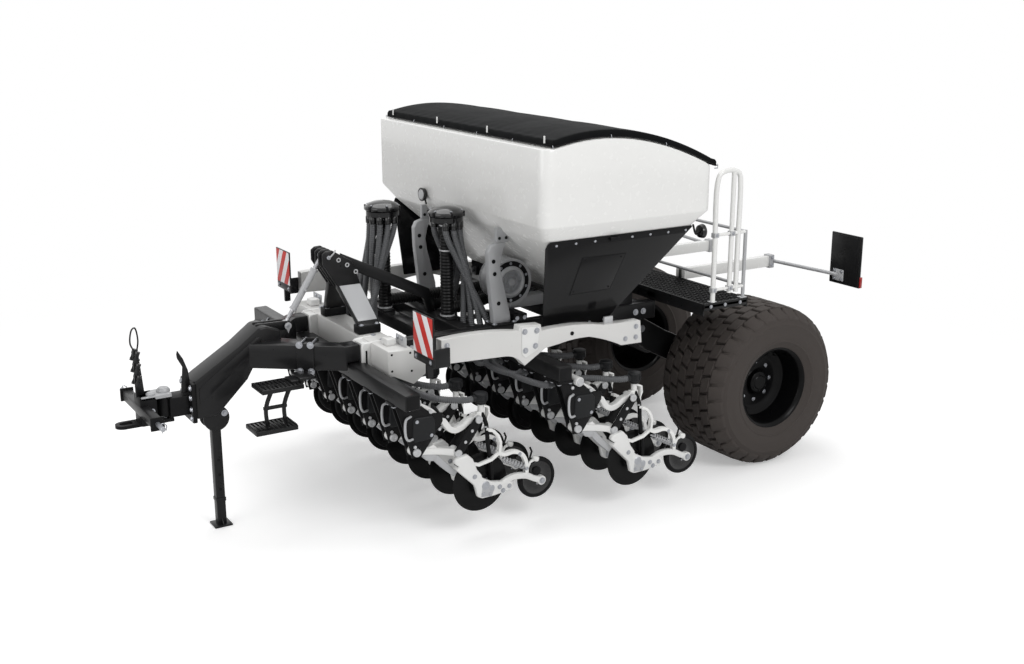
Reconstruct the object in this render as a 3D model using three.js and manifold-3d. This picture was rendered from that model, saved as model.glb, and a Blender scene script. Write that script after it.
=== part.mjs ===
// Trailed direct seed drill, 3 m wide: hopper over two ranks of disc row units, on two wide
// flotation tyres at the back and a parking leg at the front.
// Millimetres, +Z up, the hitch towards -Y, the machine's left side towards +X.
// Stations along Y are counted from the axle (0) and the whole machine is then moved so that
// its origin lies on the ground under the middle of its outline.

import * as THREE from 'three';
import { ConvexGeometry } from 'three/addons/geometries/ConvexGeometry.js';
import { mergeVertices } from 'three/addons/utils/BufferGeometryUtils.js';
import Module from 'manifold-3d';

const wasm = await Module();
wasm.setup();

// ---------------------------------------------------------------- driving dimensions
const gap = 0.3;                       // between pieces that touch
const row = { count: 16, pitch: 187.5 };
const tyre = { radius: 704, width: 800, halfTrack: 941, rimRadius: 322, deckClearance: 42 };
const disc = { radius: 230, thickness: 6, groundClearance: 200, gaugeRadius: 195, gaugeWidth: 45 };
const press = { radius: 165, width: 50, behindDisc: 500 };
const rank = { frontDisc: -2871, spacing: 1271 };
const rail = { halfSpacing: 620, width: 100, height: 150 };
const toolbar = { size: 120, ahead: 670 };          // row unit toolbar, ahead of its discs
const frontBeam = { size: 200, front: -3440, halfWidth: 890, bracket: 75, endPlate: 12 };
const sideBeam = { thickness: 80 };
const hopper = { halfWidth: 1354, front: -2406, rear: -820, foldHeight: 750, shoulder: 55, wall: 6 };
const outlet = { halfWidth: 900, front: -1720, rear: -1420, height: 170 };
const cover = { thickness: 10, skirt: 45, clearance: 12 };
const head = { x: 250, leftY: -2600, rightY: -2910, riserRadius: 55, capRadius: 145, height: 865 };
const hose = { radius: 25, laneHeight: 1120, lanePitch: 50 };
const blower = { radius: 210, width: 200, x: 400, y: -2160, rise: 290 };
const drawbar = { halfWidth: 120, armX: 500, noseFront: -4650 };
const pivotPin = { y: -4850, radius: 25, clearance: 2 };
const crossShaft = { halfLength: 537, y: -5016, size: 75 };
const stand = { y: -4480, pivotHeight: 880, tube: 70, foot: 140 };
const marker = { front: 300, rearWidth: 350, rearHeight: 450, halfWidth: 1456, rearHalfWidth: 1421 };
const deck = { front: -830, depth: 470, thickness: 100 };
const frontReach = 5215;               // hitch eye ahead of the axle
const rearReach = 828;                 // rear markers behind the axle

// ---------------------------------------------------------------- levels and stations
const frameTop = 2 * tyre.radius + tyre.deckClearance;
const frameLow = frameTop - rail.height;
const toolbarTop = frameLow - gap;
const toolbarLow = toolbarTop - toolbar.size;
const hopperFold = frameTop + hopper.foldHeight;     // where the funnel starts
const outletTop = frameTop + outlet.height;
const halfRow = row.pitch / 2;
const rankPitch = 2 * row.pitch;
const unitsPerRank = row.count / 2;
const outerRow = (unitsPerRank - 1) / 2 * rankPitch + halfRow;
const toolbarHalf = outerRow + 60;
const beamX = outerRow - 86;                         // outer face of the side beams
const crossHalf = beamX - sideBeam.thickness - gap;
const discHeight = disc.groundClearance + disc.radius;
const headTop = frameTop + head.height;

// ---------------------------------------------------------------- colours
const white = { color: 0xf1f1ef, roughness: 0.35, metalness: 0 };
const black = { color: 0x1c1c1d, roughness: 0.45, metalness: 0 };
const rubber = { color: 0x3a3630, roughness: 0.85, metalness: 0 };
const grey = { color: 0x8c8d8f, roughness: 0.5, metalness: 0.3 };
const hoseGrey = { color: 0x4a4a4c, roughness: 0.6, metalness: 0 };
const tarp = { color: 0x2b2c2e, roughness: 0.75, metalness: 0 };
const signRed = { color: 0xc0281c, roughness: 0.5, metalness: 0 };

// ---------------------------------------------------------------- solids
// A closed geometry becomes a solid once its shared corners are merged.
function solid(geometry) {
  const bare = geometry.clone();
  bare.deleteAttribute('normal');
  bare.deleteAttribute('uv');
  const merged = mergeVertices(bare, 1e-3);
  const index = merged.index.array;
  const corners = [];
  for (let i = 0; i < index.length; i += 3) {
    const [a, b, c] = [index[i], index[i + 1], index[i + 2]];
    if (a !== b && b !== c && c !== a) corners.push(a, b, c);
  }
  const vertProperties = new Float32Array(merged.attributes.position.array);
  const triVerts = new Uint32Array(corners);
  return new wasm.Manifold(new wasm.Mesh({ numProp: 3, vertProperties, triVerts }));
}

function join(...pieces) {
  return pieces.flat(Infinity).reduce((whole, piece) => whole.add(piece));
}

function cut(body, ...tools) {
  return tools.flat(Infinity).reduce((whole, tool) => whole.subtract(tool), body);
}

function box([x0, x1], [y0, y1], [z0, z1]) {
  const geometry = new THREE.BoxGeometry(x1 - x0, y1 - y0, z1 - z0);
  return solid(geometry.translate((x0 + x1) / 2, (y0 + y1) / 2, (z0 + z1) / 2));
}

// A convex block through the given corners.
function hull(...points) {
  return solid(new ConvexGeometry(points.flat().map((p) => new THREE.Vector3(...p))));
}

// The eight corners of a box, for a hull.
function corners([x0, x1], [y0, y1], [z0, z1]) {
  const list = [];
  for (const x of [x0, x1]) for (const y of [y0, y1]) for (const z of [z0, z1]) list.push([x, y, z]);
  return list;
}

// A flat plate: an outline of [y, z] points, thick along X.
function plateX(outline, x0, x1) {
  const shape = new THREE.Shape(outline.map(([y, z]) => new THREE.Vector2(y, z)));
  const geometry = new THREE.ExtrudeGeometry(shape, { depth: x1 - x0, bevelEnabled: false });
  const turn = new THREE.Matrix4().makeBasis(
    new THREE.Vector3(0, 1, 0), new THREE.Vector3(0, 0, 1), new THREE.Vector3(1, 0, 0));
  return solid(geometry.applyMatrix4(turn).translate(x0, 0, 0));
}

// A flat plate: an outline of [x, y] points, thick along Z.
function plateZ(outline, z0, z1) {
  const shape = new THREE.Shape(outline.map(([x, y]) => new THREE.Vector2(x, y)));
  const geometry = new THREE.ExtrudeGeometry(shape, { depth: z1 - z0, bevelEnabled: false });
  return solid(geometry.translate(0, 0, z0));
}

// A straight round bar between two points.
function bar(from, to, radius, sides = 12) {
  const start = new THREE.Vector3(...from);
  const line = new THREE.Vector3(...to).sub(start);
  const geometry = new THREE.CylinderGeometry(radius, radius, line.length(), sides);
  const up = new THREE.Vector3(0, 1, 0);
  geometry.applyQuaternion(new THREE.Quaternion().setFromUnitVectors(up, line.clone().normalize()));
  const middle = start.addScaledVector(line, 0.5);
  return solid(geometry.translate(middle.x, middle.y, middle.z));
}

// A round tube bent along a smooth path.
function pipe(points, radius, sides = 8, steps = 16) {
  const path = new THREE.CatmullRomCurve3(points.map((p) => new THREE.Vector3(...p)));
  const round = new THREE.Shape();
  for (let i = 0; i < sides; i += 1) {
    const angle = (2 * Math.PI * i) / sides;
    const [x, y] = [radius * Math.cos(angle), radius * Math.sin(angle)];
    if (i === 0) round.moveTo(x, y);
    else round.lineTo(x, y);
  }
  return solid(new THREE.ExtrudeGeometry(round, { steps, extrudePath: path, bevelEnabled: false }));
}

// A body turned about the X axis, from [radius, along] points; it starts and ends on the axis.
function turned(profile, sides) {
  const points = profile.map(([radius, along]) => new THREE.Vector2(radius, along));
  const geometry = new THREE.LatheGeometry(points, sides);
  return solid(geometry.rotateZ(-Math.PI / 2));
}

// Both sides of the machine: the same maker called with +1 and -1.
function bothSides(make) {
  return [1, -1].flatMap((side) => make(side));
}

// A span along X that is mirrored with its side.
function span(side, near, far) {
  return side > 0 ? [near, far] : [-far, -near];
}

const machine = new THREE.Group();
machine.position.set(0, (frontReach - rearReach) / 2, 0);

function place(name, body, finish, position = [0, 0, 0]) {
  const mesh = body.getMesh();
  const geometry = new THREE.BufferGeometry();
  geometry.setAttribute('position', new THREE.BufferAttribute(mesh.vertProperties, 3));
  geometry.setIndex(new THREE.BufferAttribute(mesh.triVerts, 1));
  geometry.computeVertexNormals();
  const node = new THREE.Mesh(geometry, new THREE.MeshStandardMaterial(finish));
  node.name = name;
  node.position.set(...position);
  machine.add(node);
}

// ---------------------------------------------------------------- wheels and axle
const hubFace = 60;                    // inner face of the wheel disc, from the tyre's middle

function wheelBody() {
  const half = tyre.width / 2;
  const { radius, rimRadius } = tyre;
  return turned([
    [0, hubFace], [rimRadius - 30, hubFace], [rimRadius, 20 - half], [rimRadius + 28, -half],
    [radius - 260, -half], [radius - 90, 15 - half], [radius - 24, 70 - half], [radius, 170 - half],
    [radius, half - 170], [radius - 24, half - 70], [radius - 90, half - 15], [radius - 260, half],
    [rimRadius + 28, half], [rimRadius, half - 20], [rimRadius - 20, hubFace + 60],
    [120, hubFace + 60], [110, hubFace + 120], [0, hubFace + 120],
  ], 24);
}

place('wheel_left', wheelBody(), rubber, [tyre.halfTrack, 0, tyre.radius]);
place('wheel_right', wheelBody().mirror([1, 0, 0]), rubber, [-tyre.halfTrack, 0, tyre.radius]);

const axleCross = { y: -990, half: 60 };            // the frame member that carries the axle arms

function axleFrame() {
  const armInner = 370;
  const armOuter = 490;
  const stubEnd = tyre.halfTrack + hubFace - gap;
  const z = tyre.radius;
  const arm = [
    [axleCross.y - 70, toolbarTop], [axleCross.y + 130, toolbarTop], [-560, frameLow - 190],
    [90, z + 95], [90, z - 95], [-90, z - 95], [-780, frameLow - 330],
  ];
  return join(
    box([-500, 500], [-75, 75], [z - 75, z + 75]),
    bothSides((side) => [
      plateX(arm, ...span(side, armInner, armOuter)),
      bar([side * 480, 0, z], [side * stubEnd, 0, z], 55, 16),
    ]),
  );
}
place('axle_frame', axleFrame(), black);

// ---------------------------------------------------------------- frame
const headCross = { half: 60, height: 100 };
const frameFront = frontBeam.front + frontBeam.size + gap;
const rearCross = { y: -1540, half: 80 };
const postX = [590, 650];
const postTop = hopperFold - 100;
const rearPostTop = frameTop + 340;

function mainFrame() {
  const inner = rail.halfSpacing - rail.width / 2;
  const outer = rail.halfSpacing + rail.width / 2;
  const level = [frameLow, frameTop];
  const frontPost = [
    [-2400, frameTop - 10], [-2240, frameTop - 10], [-2250, frameTop + 150],
    [-2310, frameTop + 380], [-2290, postTop], [-2400, postTop], [-2470, frameTop + 420],
  ];
  return join(
    bothSides((side) => [
      box(span(side, inner, outer), [frameFront, deck.front - gap], level),
      plateX(frontPost, ...span(side, ...postX)),
      box(span(side, ...postX), [-1250, -1050], [frameTop - 10, rearPostTop]),
    ]),
    box([-crossHalf, crossHalf], [rearCross.y - rearCross.half, rearCross.y + rearCross.half], level),
    box([-inner - 5, inner + 5], [axleCross.y - axleCross.half, axleCross.y + axleCross.half], level),
    [head.leftY - 20, head.rightY].map((y) => box(
      [-inner - 5, inner + 5], [y - headCross.half, y + headCross.half],
      [frameTop - headCross.height, frameTop])),
  );
}
place('main_frame', mainFrame(), black);

// The wavy beam along each side: its outline is two arches over the row units.
function beamOutline() {
  const z = frameTop;
  const outline = new THREE.Shape();
  outline.moveTo(frameFront + 5, z - 20);
  outline.lineTo(frameFront + 5, z + 158);
  outline.quadraticCurveTo(-2900, z + 185, -2590, z + 132);
  outline.lineTo(-2583, z + 172);
  outline.lineTo(-2400, z + 160);
  outline.lineTo(-2390, z + 110);
  outline.quadraticCurveTo(-2060, z + 130, -1825, z + 75);
  outline.lineTo(-1478, z + 62);
  outline.lineTo(-1460, z - 118);
  outline.lineTo(-1657, z - 112);
  outline.quadraticCurveTo(-1800, z - 40, -1960, z);
  outline.quadraticCurveTo(-2100, z + 10, -2230, z - 15);
  outline.lineTo(-2358, z - 30);
  outline.lineTo(-2539, z - 138);
  outline.quadraticCurveTo(-2600, z - 50, -2704, z - 41);
  outline.quadraticCurveTo(-2900, z - 32, frameFront + 5, z - 20);
  return outline.getPoints(3).map((p) => [p.x, p.y]);
}

for (const [name, side] of [['side_beam_left', 1], ['side_beam_right', -1]]) {
  const [x0, x1] = span(side, beamX - sideBeam.thickness, beamX);
  place(name, plateX(beamOutline(), x0, x1), white);
}

// ---------------------------------------------------------------- row units
const unit = {
  lowerPivot: [-548, 786], upperPivot: [-365, 1020],
  upperRear: [-35, 945], lowerRear: [-210, 714], upperDip: [-215, 880],
  halfWidth: 50, cupRadius: 52, cupTop: 1138, cupLow: 1045, cupY: 12,
  armNear: 45, armFar: 90,
};

// A flat bar of the given depth that bends through points in a plane across X.
function strap(points, depth, x, halfWidth) {
  const [upper, lower] = [1, -1].map((way) => points.map(([y, z], i) => {
    const [py, pz] = points[Math.max(i - 1, 0)];
    const [ny, nz] = points[Math.min(i + 1, points.length - 1)];
    const length = Math.hypot(ny - py, nz - pz);
    return [y - way * (nz - pz) / length * depth / 2, z + way * (ny - py) / length * depth / 2];
  }));
  return plateX([...upper, ...lower.reverse()], x - halfWidth, x + halfWidth);
}

function rowUnit(x, discY) {
  const side = x > 0 ? 1 : -1;
  const at = (points) => points.map(([y, z]) => [discY + y, z]);
  const { lowerPivot, upperPivot, upperRear, lowerRear, halfWidth } = unit;
  const z = discHeight;
  const block = at([
    [-toolbar.ahead - 50, toolbarLow + 20], [-toolbar.ahead + 50, toolbarLow + 20], [-420, 1060],
    [-330, 1050], [-330, 985], [-510, 740], [-600, 740],
  ]);
  const elbow = at([
    [-265, 640], [-150, 700], [-20, z + 45], [180, z - 20], [400, z + 40], [400, z + 150],
    [470, z + 140], [460, z + 60], [540, z - 40], [540, z - 90], [-20, z - 80],
  ]);
  const outside = Math.abs(x);
  return [
    plateX(block, x - halfWidth, x + halfWidth),
    strap(at([upperPivot, unit.upperDip, upperRear]), 52, x, 30),
    strap(at([lowerPivot, lowerRear]), 60, x, 40),
    strap(at([upperRear, lowerRear]), 70, x, 22),
    plateX(elbow, ...span(side, outside + unit.armNear, outside + unit.armFar)),
    box(span(side, outside + 20, outside + unit.armFar), [discY - 250, discY - 175], [655, 735]),
    bar([x, discY + unit.cupY, unit.cupLow], [x, discY + unit.cupY, unit.cupTop], unit.cupRadius, 8),
    box([x - 20, x + 20], [discY - 40, discY + 30], [930, unit.cupLow + 10]),
    box(span(side, outside + 22, outside + 50), [discY + 10, discY + 60], [z + 60, 945]),
    box(span(side, outside + 22, outside + 50), [discY + 46, discY + 90], [z - 20, z + 90]),
  ];
}

function rankCentres(shift) {
  const centres = [];
  for (let i = 0; i < unitsPerRank; i += 1) {
    centres.push(((unitsPerRank - 1) / 2 - i) * rankPitch + shift);
  }
  return centres;
}

const ranks = [
  { name: 'front', discY: rank.frontDisc, centres: rankCentres(-halfRow) },
  { name: 'rear', discY: rank.frontDisc + rank.spacing, centres: rankCentres(halfRow) },
];

const bossReach = unit.armNear - gap;
const smallWheelSides = 12;

function discBody(side) {
  const half = disc.thickness / 2;
  const inner = -half - disc.gaugeWidth;
  const profile = [
    [0, inner], [disc.gaugeRadius, inner], [disc.gaugeRadius, -half], [disc.radius, -half],
    [disc.radius, half], [40, half], [40, bossReach], [0, bossReach],
  ];
  const body = turned(profile, smallWheelSides);
  return side > 0 ? body : body.mirror([1, 0, 0]);
}

function pressBody(side) {
  const half = press.width / 2;
  const body = turned([
    [0, -half], [press.radius, -half], [press.radius, half], [40, half], [40, bossReach],
    [0, bossReach],
  ], smallWheelSides);
  return side > 0 ? body : body.mirror([1, 0, 0]);
}

for (const { name, discY, centres } of ranks) {
  const y = discY - toolbar.ahead;
  const toolbarBox = box(
    [-toolbarHalf, toolbarHalf], [y - toolbar.size / 2, y + toolbar.size / 2], [toolbarLow, toolbarTop]);
  const solids = [toolbarBox, ...centres.flatMap((x) => rowUnit(x, discY))];
  if (name === 'front') solids.push(...frontBeamPieces());
  place(`${name}_row_units`, join(solids), name === 'front' ? white : black);
  centres.forEach((x, i) => {
    const side = x > 0 ? 1 : -1;
    place(`${name}_disc_${i + 1}`, discBody(side), black, [x, discY, discHeight]);
    const pressHeight = disc.groundClearance + press.radius;
    const pressY = discY + press.behindDisc;
    place(`${name}_press_wheel_${i + 1}`, pressBody(side), black, [x, pressY, pressHeight]);
  });
}

// The white beam across the front of the frame, with the cast brackets that take the drawbar
// and the front toolbar, and a pointed plate on each end.
function frontBeamPieces() {
  const { front, size, halfWidth, bracket, endPlate } = frontBeam;
  const z = frameTop;
  const endOutline = [
    [front - 10, z], [front + 225, z - 8], [front + 340, z - 180], [front + 195, z - 275],
    [front - 10, z - 170],
  ];
  return [
    box([-halfWidth - 5, halfWidth + 5], [front, front + size], [z - size, z]),
    bothSides((side) => [
      plateX(endOutline, ...span(side, halfWidth, halfWidth + endPlate)),
      box(span(side, drawbar.armX - 90, drawbar.armX + 90), [front - bracket, front + 10],
        [toolbarLow + 20, z + 5]),
    ]),
  ];
}

// ---------------------------------------------------------------- hopper, cover and panels
// The side outline of the hopper's top: an arch from the front edge to the lower rear edge.
function archOutline(lower, drop = 0) {
  const z = frameTop - drop;
  const arch = new THREE.QuadraticBezierCurve(
    new THREE.Vector2(hopper.front + 118, z + 1500),
    new THREE.Vector2(-1620, z + 1670),
    new THREE.Vector2(hopper.rear + 10, z + 1263));
  const points = arch.getPoints(8).map((p) => [p.x, p.y]);
  const [first, last] = [points[0][0], points[points.length - 1][0]];
  return [...points, [last, lower], [first, lower]];
}

// Hopper rings are rectangles with cut corners: half width, front, rear, corner.
function ring(half, front, rear, corner, z) {
  const list = [];
  for (const side of [1, -1]) {
    list.push([side * (half - corner), front, z], [side * half, front + corner, z]);
    list.push([side * (half - corner), rear, z], [side * half, rear - corner, z]);
  }
  return list;
}

function hopperShell(inset) {
  const w = hopper.halfWidth - inset;
  const f = hopper.front + inset;
  const r = hopper.rear - inset;
  const under = (drop) => plateX([
    [hopper.front - 10, outletTop - 200], [hopper.front - 10, frameTop + 1500 - drop],
    ...archOutline(0, drop).slice(0, 9), [hopper.rear + 30, outletTop - 200],
  ], -w - 10, w + 10);
  const body = hull(ring(w, f, r, 90, hopperFold + 124), ring(w, f, r, 90, frameTop + 1700));
  const crown = hull(
    ring(w - 54, f + 112, r, 60, frameTop + 1100), ring(w - 54, f + 112, r, 60, frameTop + 1700));
  const chamfer = hull(
    ring(w, f, r, 90, hopperFold + 124), ring(w - 104, f + 86, r - 90, 60, hopperFold));
  const funnel = hull(
    ring(w - 104, f + 86, r - 90, 60, hopperFold),
    ring(outlet.halfWidth - inset, outlet.front + inset, outlet.rear - inset, 20, outletTop));
  const lower = join(body, chamfer, funnel).intersect(under(hopper.shoulder + inset));
  return join(lower, crown.intersect(under(0)));
}

function hopperBody() {
  const inside = hopperShell(hopper.wall);
  const w = hopper.halfWidth - 54 - 6 - hopper.wall;
  const mouth = box(
    [-w, w], [hopper.front + 112 + 2 * hopper.wall, hopper.rear - 2 * hopper.wall],
    [frameTop + 1200, frameTop + 1800]);
  const metering = box(
    [-outlet.halfWidth, outlet.halfWidth], [outlet.front, outlet.rear], [frameTop + gap, outletTop + 5]);
  const lugs = bothSides((side) => [
    box(span(side, ...postX), [-2400, -2240], [postTop + gap, hopperFold + 60]),
    box(span(side, ...postX), [-1250, -1050], [rearPostTop + gap, frameTop + 620]),
  ]);
  return join(cut(join(hopperShell(0), lugs), inside, mouth), metering);
}
place('hopper', hopperBody(), white);

function tarpCover() {
  const w = hopper.halfWidth - 54 + cover.clearance;
  const low = frameTop + 1200;
  const outerArch = archOutline(low, -gap - cover.thickness);
  const innerArch = archOutline(low - 100, -gap);
  const crest = -1887;
  const grow = (outline, by) => outline.map(([y, z]) => [y < crest ? y - by : y + by, z]);
  const outside = plateX(grow(outerArch, cover.clearance + cover.thickness), -w - cover.thickness,
    w + cover.thickness);
  const inside = plateX(grow(innerArch, cover.clearance), -w, w);
  const skirtCut = plateX([
    [-3000, low - 50], ...grow(archOutline(0, cover.skirt).slice(0, 9), 60), [0, low - 50],
  ], -w - 50, w + 50);
  return cut(outside, inside, skirtCut);
}
place('tarp_cover', tarpCover(), tarp);

for (const [name, side] of [['side_panel_left', 1], ['side_panel_right', -1]]) {
  const top = hopper.halfWidth - 104;
  const [t0, t1] = span(side, top + gap, top + gap + 6);
  const [b0, b1] = span(side, top - 100, top - 94);
  const [zt, zb] = [hopperFold, frameTop + 44];
  place(name, hull(
    [[t0, -2320, zt], [t1, -2320, zt], [t0, -925, zt], [t1, -925, zt]],
    [[b0, -2280, zb], [b1, -2280, zb], [b0, -1712, zb], [b1, -1712, zb]],
  ), black);
}

// ---------------------------------------------------------------- air system
function blowerBody() {
  const { x, y, radius, width } = blower;
  const z = frameTop + blower.rise;
  const [x0, x1] = [x - width / 2, x + width / 2];
  const spiral = new THREE.Shape();
  const turns = 24;
  for (let i = 0; i <= turns; i += 1) {
    const angle = (2 * Math.PI * i) / turns;
    const r = radius * (0.78 + 0.22 * (i / turns));
    const [py, pz] = [y - r * Math.sin(angle), z - r * Math.cos(angle)];
    if (i === 0) spiral.moveTo(py, pz);
    else spiral.lineTo(py, pz);
  }
  const outline = spiral.getPoints().map((p) => [p.x, p.y]);
  return join(
    plateX(outline, x0, x1),
    bar([x1 - 5, y, z], [x1 + 35, y, z], radius * 0.62, 20),
    box([x - 60, x + 60], [y - 10, outlet.front - gap], [frameTop + 55, frameTop + 145]),
    box([x - 40, rail.halfSpacing + 40], [y - 60, y + 60], [frameTop + gap, frameTop + 60]),
    box([x - 40, x + 40], [y - 60, y + 60], [frameTop + 30, z - radius * 0.5]),
  );
}
place('blower', blowerBody(), grey);

function distributionHead(side) {
  const x = side * head.x;
  const y = side > 0 ? head.leftY : head.rightY;
  const ductZ = frameTop + 80;
  const ductX = side > 0 ? 120 : x;
  const duct = pipe([
    [x, y, ductZ], [x, y + 60, ductZ], [x, y + 230, ductZ],
    [ductX, y + 450, ductZ], [ductX, outlet.front - 200, ductZ],
    [ductX, outlet.front - gap, ductZ],
  ], 48, 8, 8);
  const r = head.capRadius;
  const cap = [[0, 0], [r - 20, 0], [r, 12], [r, 40], [r - 30, 62], [r - 80, 76], [0, 82]];
  const points = cap.map(([radius, along]) => new THREE.Vector2(radius, along));
  const dome = new THREE.LatheGeometry(points, 14);
  dome.rotateX(Math.PI / 2).translate(x, y, headTop - 40);
  return join(
    bar([x, y, frameTop + gap], [x, y, headTop - 20], head.riserRadius, 10),
    duct,
    solid(dome),
  );
}
place('distribution_head_left', distributionHead(1), black);
place('distribution_head_right', distributionHead(-1), black);

// Eight hoses leave the ring under each cap and end at the cups of one rank: the left head
// feeds the rear rank and the right head the front rank.
function seedHoses(side) {
  const x = side * head.x;
  const y = side > 0 ? head.leftY : head.rightY;
  const { discY, centres } = ranks[side > 0 ? 1 : 0];
  const cupY = discY + unit.cupY;
  const toRear = side > 0 ? 1 : -1;
  const ringTop = headTop - 40 - gap;
  const ringBody = cut(
    bar([x, y, ringTop - 45], [x, y, ringTop], head.capRadius - 12, 14),
    bar([x, y, ringTop - 60], [x, y, ringTop + 10], head.riserRadius + 5, 10));
  const hoses = centres.map((rowX, i) => {
    const fan = (i - 3.5) / 3.5;
    const angle = -fan * (2 * Math.PI / 3);
    const lane = Math.abs(i - 3.5) - 0.5;
    const laneY = side > 0
      ? discY - toolbar.ahead - toolbar.size / 2 - 45 - hose.lanePitch * (3 - lane)
      : discY - 185 - hose.lanePitch * lane;
    const ringR = head.capRadius - 36;
    const start = [x + ringR * Math.sin(angle), y + toRear * ringR * Math.cos(angle)];
    const dropX = x - fan * 200 - Math.sign(fan) * 90;
    const turn = rowX > dropX ? 1 : -1;
    const beside = rowX - turn * 112;
    const path = [
      [...start, ringTop - 20],
      [...start, ringTop - 120],
      [x + 1.35 * ringR * Math.sin(angle), y + toRear * (100 + 30 * Math.cos(angle)), frameTop + 380],
      [dropX, laneY, frameTop - 60],
      [dropX + turn * 20, laneY, hose.laneHeight + 60],
      [dropX + turn * 90, laneY, hose.laneHeight],
    ];
    if (side > 0) {
      path.push([beside, laneY + 40, hose.laneHeight]);
      path.push([beside, discY - toolbar.ahead, hose.laneHeight]);
      path.push([beside, discY - 400, hose.laneHeight]);
    } else {
      path.push([beside, laneY, hose.laneHeight]);
    }
    path.push([rowX, cupY - 130, 1095]);
    path.push([rowX, cupY - unit.cupRadius - gap, 1095]);
    return pipe(path, hose.radius, 5, 10);
  });
  return join(ringBody, hoses);
}
place('seed_hoses_left', seedHoses(1), hoseGrey);
place('seed_hoses_right', seedHoses(-1), hoseGrey);

// ---------------------------------------------------------------- drawbar and hitch
const armEnd = frontBeam.front - frontBeam.bracket - gap;
const armKnee = rank.frontDisc - toolbar.ahead - toolbar.size / 2 - 20;
const armLevel = [frameTop - 200, frameTop - 10];

function drawbarBody() {
  const w = drawbar.halfWidth;
  const front = drawbar.noseFront;
  const z = frameTop;
  const nose = [
    [front, z - 250], [front + 50, z - 215], [-4100, z + 110], [-3960, z + 60], [-3960, z - 200],
    [-4190, z - 200], [-4240, z - 285], [-4490, z - 530], [front, z - 530],
  ];
  const lug = [[-4140, z + 60], [-3990, z + 30], [-3850, z + 40], [-3840, z + 95], [-4130, z + 110]];
  const lever = [
    [front - 80, z - 330], [front - 10, z - 330], [front - 20, z - 160], [front - 90, z],
    [front - 95, z - 60], [front - 60, z - 130],
  ];
  const sector = [];
  for (let i = 0; i < 16; i += 1) {
    const angle = (2 * Math.PI * i) / 16;
    sector.push([stand.y + 100 * Math.cos(angle), stand.pivotHeight + 100 * Math.sin(angle)]);
  }
  const eye = bar([0, pivotPin.y, z - 490], [0, pivotPin.y, z - 335 - gap], 55, 14);
  const bore = bar([0, pivotPin.y, z - 500], [0, pivotPin.y, z - 330],
    pivotPin.radius + pivotPin.clearance, 14);
  return cut(join(
    plateX(nose, -w, w),
    bothSides((side) => [
      hull(
        corners(span(side, 20, w), [-4230, -4000], armLevel),
        corners(span(side, drawbar.armX - 70, drawbar.armX + 70), [armKnee - 20, armKnee], armLevel)),
      box(span(side, drawbar.armX - 70, drawbar.armX + 70), [armKnee - 20, armEnd],
        [toolbarTop + 10, armLevel[1]]),
      plateX(lug, ...span(side, 22, 42)),
      plateX(sector, ...span(side, stand.tube / 2 + 10, stand.tube / 2 + 22)),
    ]),
    plateX(lever, 40, 52),
    box([-w - 10, w + 10], [front - 30, front + 5], [z - 555, z - 250]),
    box([-80, 80], [pivotPin.y + 20, front], [z - 495, z - 345]),
    eye,
  ), bore);
}
place('drawbar', drawbarBody(), black);

function hitchYoke() {
  const z = frameTop;
  const { y, radius } = pivotPin;
  const slot = (front, back, half) => {
    const outline = [];
    for (let i = 0; i <= 8; i += 1) {
      const angle = Math.PI + (Math.PI * i) / 8;
      outline.push([half * Math.cos(angle), front + half + half * Math.sin(angle)]);
    }
    return [...outline, [half, back], [-half, back]];
  };
  const eyePlate = cut(
    plateZ(slot(-frontReach, y + 50, 60), z - 530, z - 505),
    plateZ(slot(-frontReach + 30, -5090, 30), z - 540, z - 500));
  const shaftZ = z - 411;
  const half = crossShaft.size / 2;
  const frontY = crossShaft.y;
  const loop = pipe([
    [0, frontY - 18, z + 20], [0, frontY - 45, z + 90], [0, frontY - 25, z + 190],
    [0, frontY - 5, z + 200], [0, frontY + 12, z + 110], [0, frontY - 2, z + 20],
  ], 6, 4, 9);
  return join(
    bar([0, y, z - 530], [0, y, z - 290], radius, 14),
    box([-80, 80], [frontY - 20, y + 40], [z - 335, z - 305]),
    eyePlate,
    box([-80, 80], [frontY - 30, y - 70], [z - 530, z - 305]),
    box([-400, 400], [frontY - half, frontY + half], [shaftZ - half, shaftZ + half]),
    bar([-crossShaft.halfLength, frontY, shaftZ], [crossShaft.halfLength, frontY, shaftZ], 18),
    plateX([
      [frontY + 30, z - 320], [frontY - 35, z - 320], [frontY - 30, z + 40], [frontY + 5, z + 40],
    ], -8, 8),
    loop,
  );
}
place('hitch_yoke', hitchYoke(), black);

function parkingStand() {
  const half = stand.tube / 2;
  const topArc = [];
  for (let i = 0; i <= 8; i += 1) {
    const angle = (Math.PI * i) / 8;
    topArc.push([stand.y + half * Math.cos(angle), stand.pivotHeight + half * Math.sin(angle)]);
  }
  const leg = [...topArc, [stand.y - half, 10], [stand.y + half, 10]];
  const foot = stand.foot / 2;
  return join(
    plateX(leg, -half, half),
    box([-foot, foot], [stand.y - foot, stand.y + foot], [0, 15]),
    bar([-half - 9.5, stand.y, stand.pivotHeight], [half + 9.5, stand.y, stand.pivotHeight], 24),
  );
}
place('parking_stand', parkingStand(), black);

const topPin = [-3553, frameTop + 573];
const lowPin = [-3881, frameTop + 68];

function topLink() {
  const half = 21.7;
  const eyes = [topPin, lowPin].map(([y, z]) => bar([-half, y, z], [half, y, z], 32, 16));
  return join(eyes, bar([0, ...lowPin], [0, ...topPin], 17));
}
place('top_link', topLink(), grey);

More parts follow.
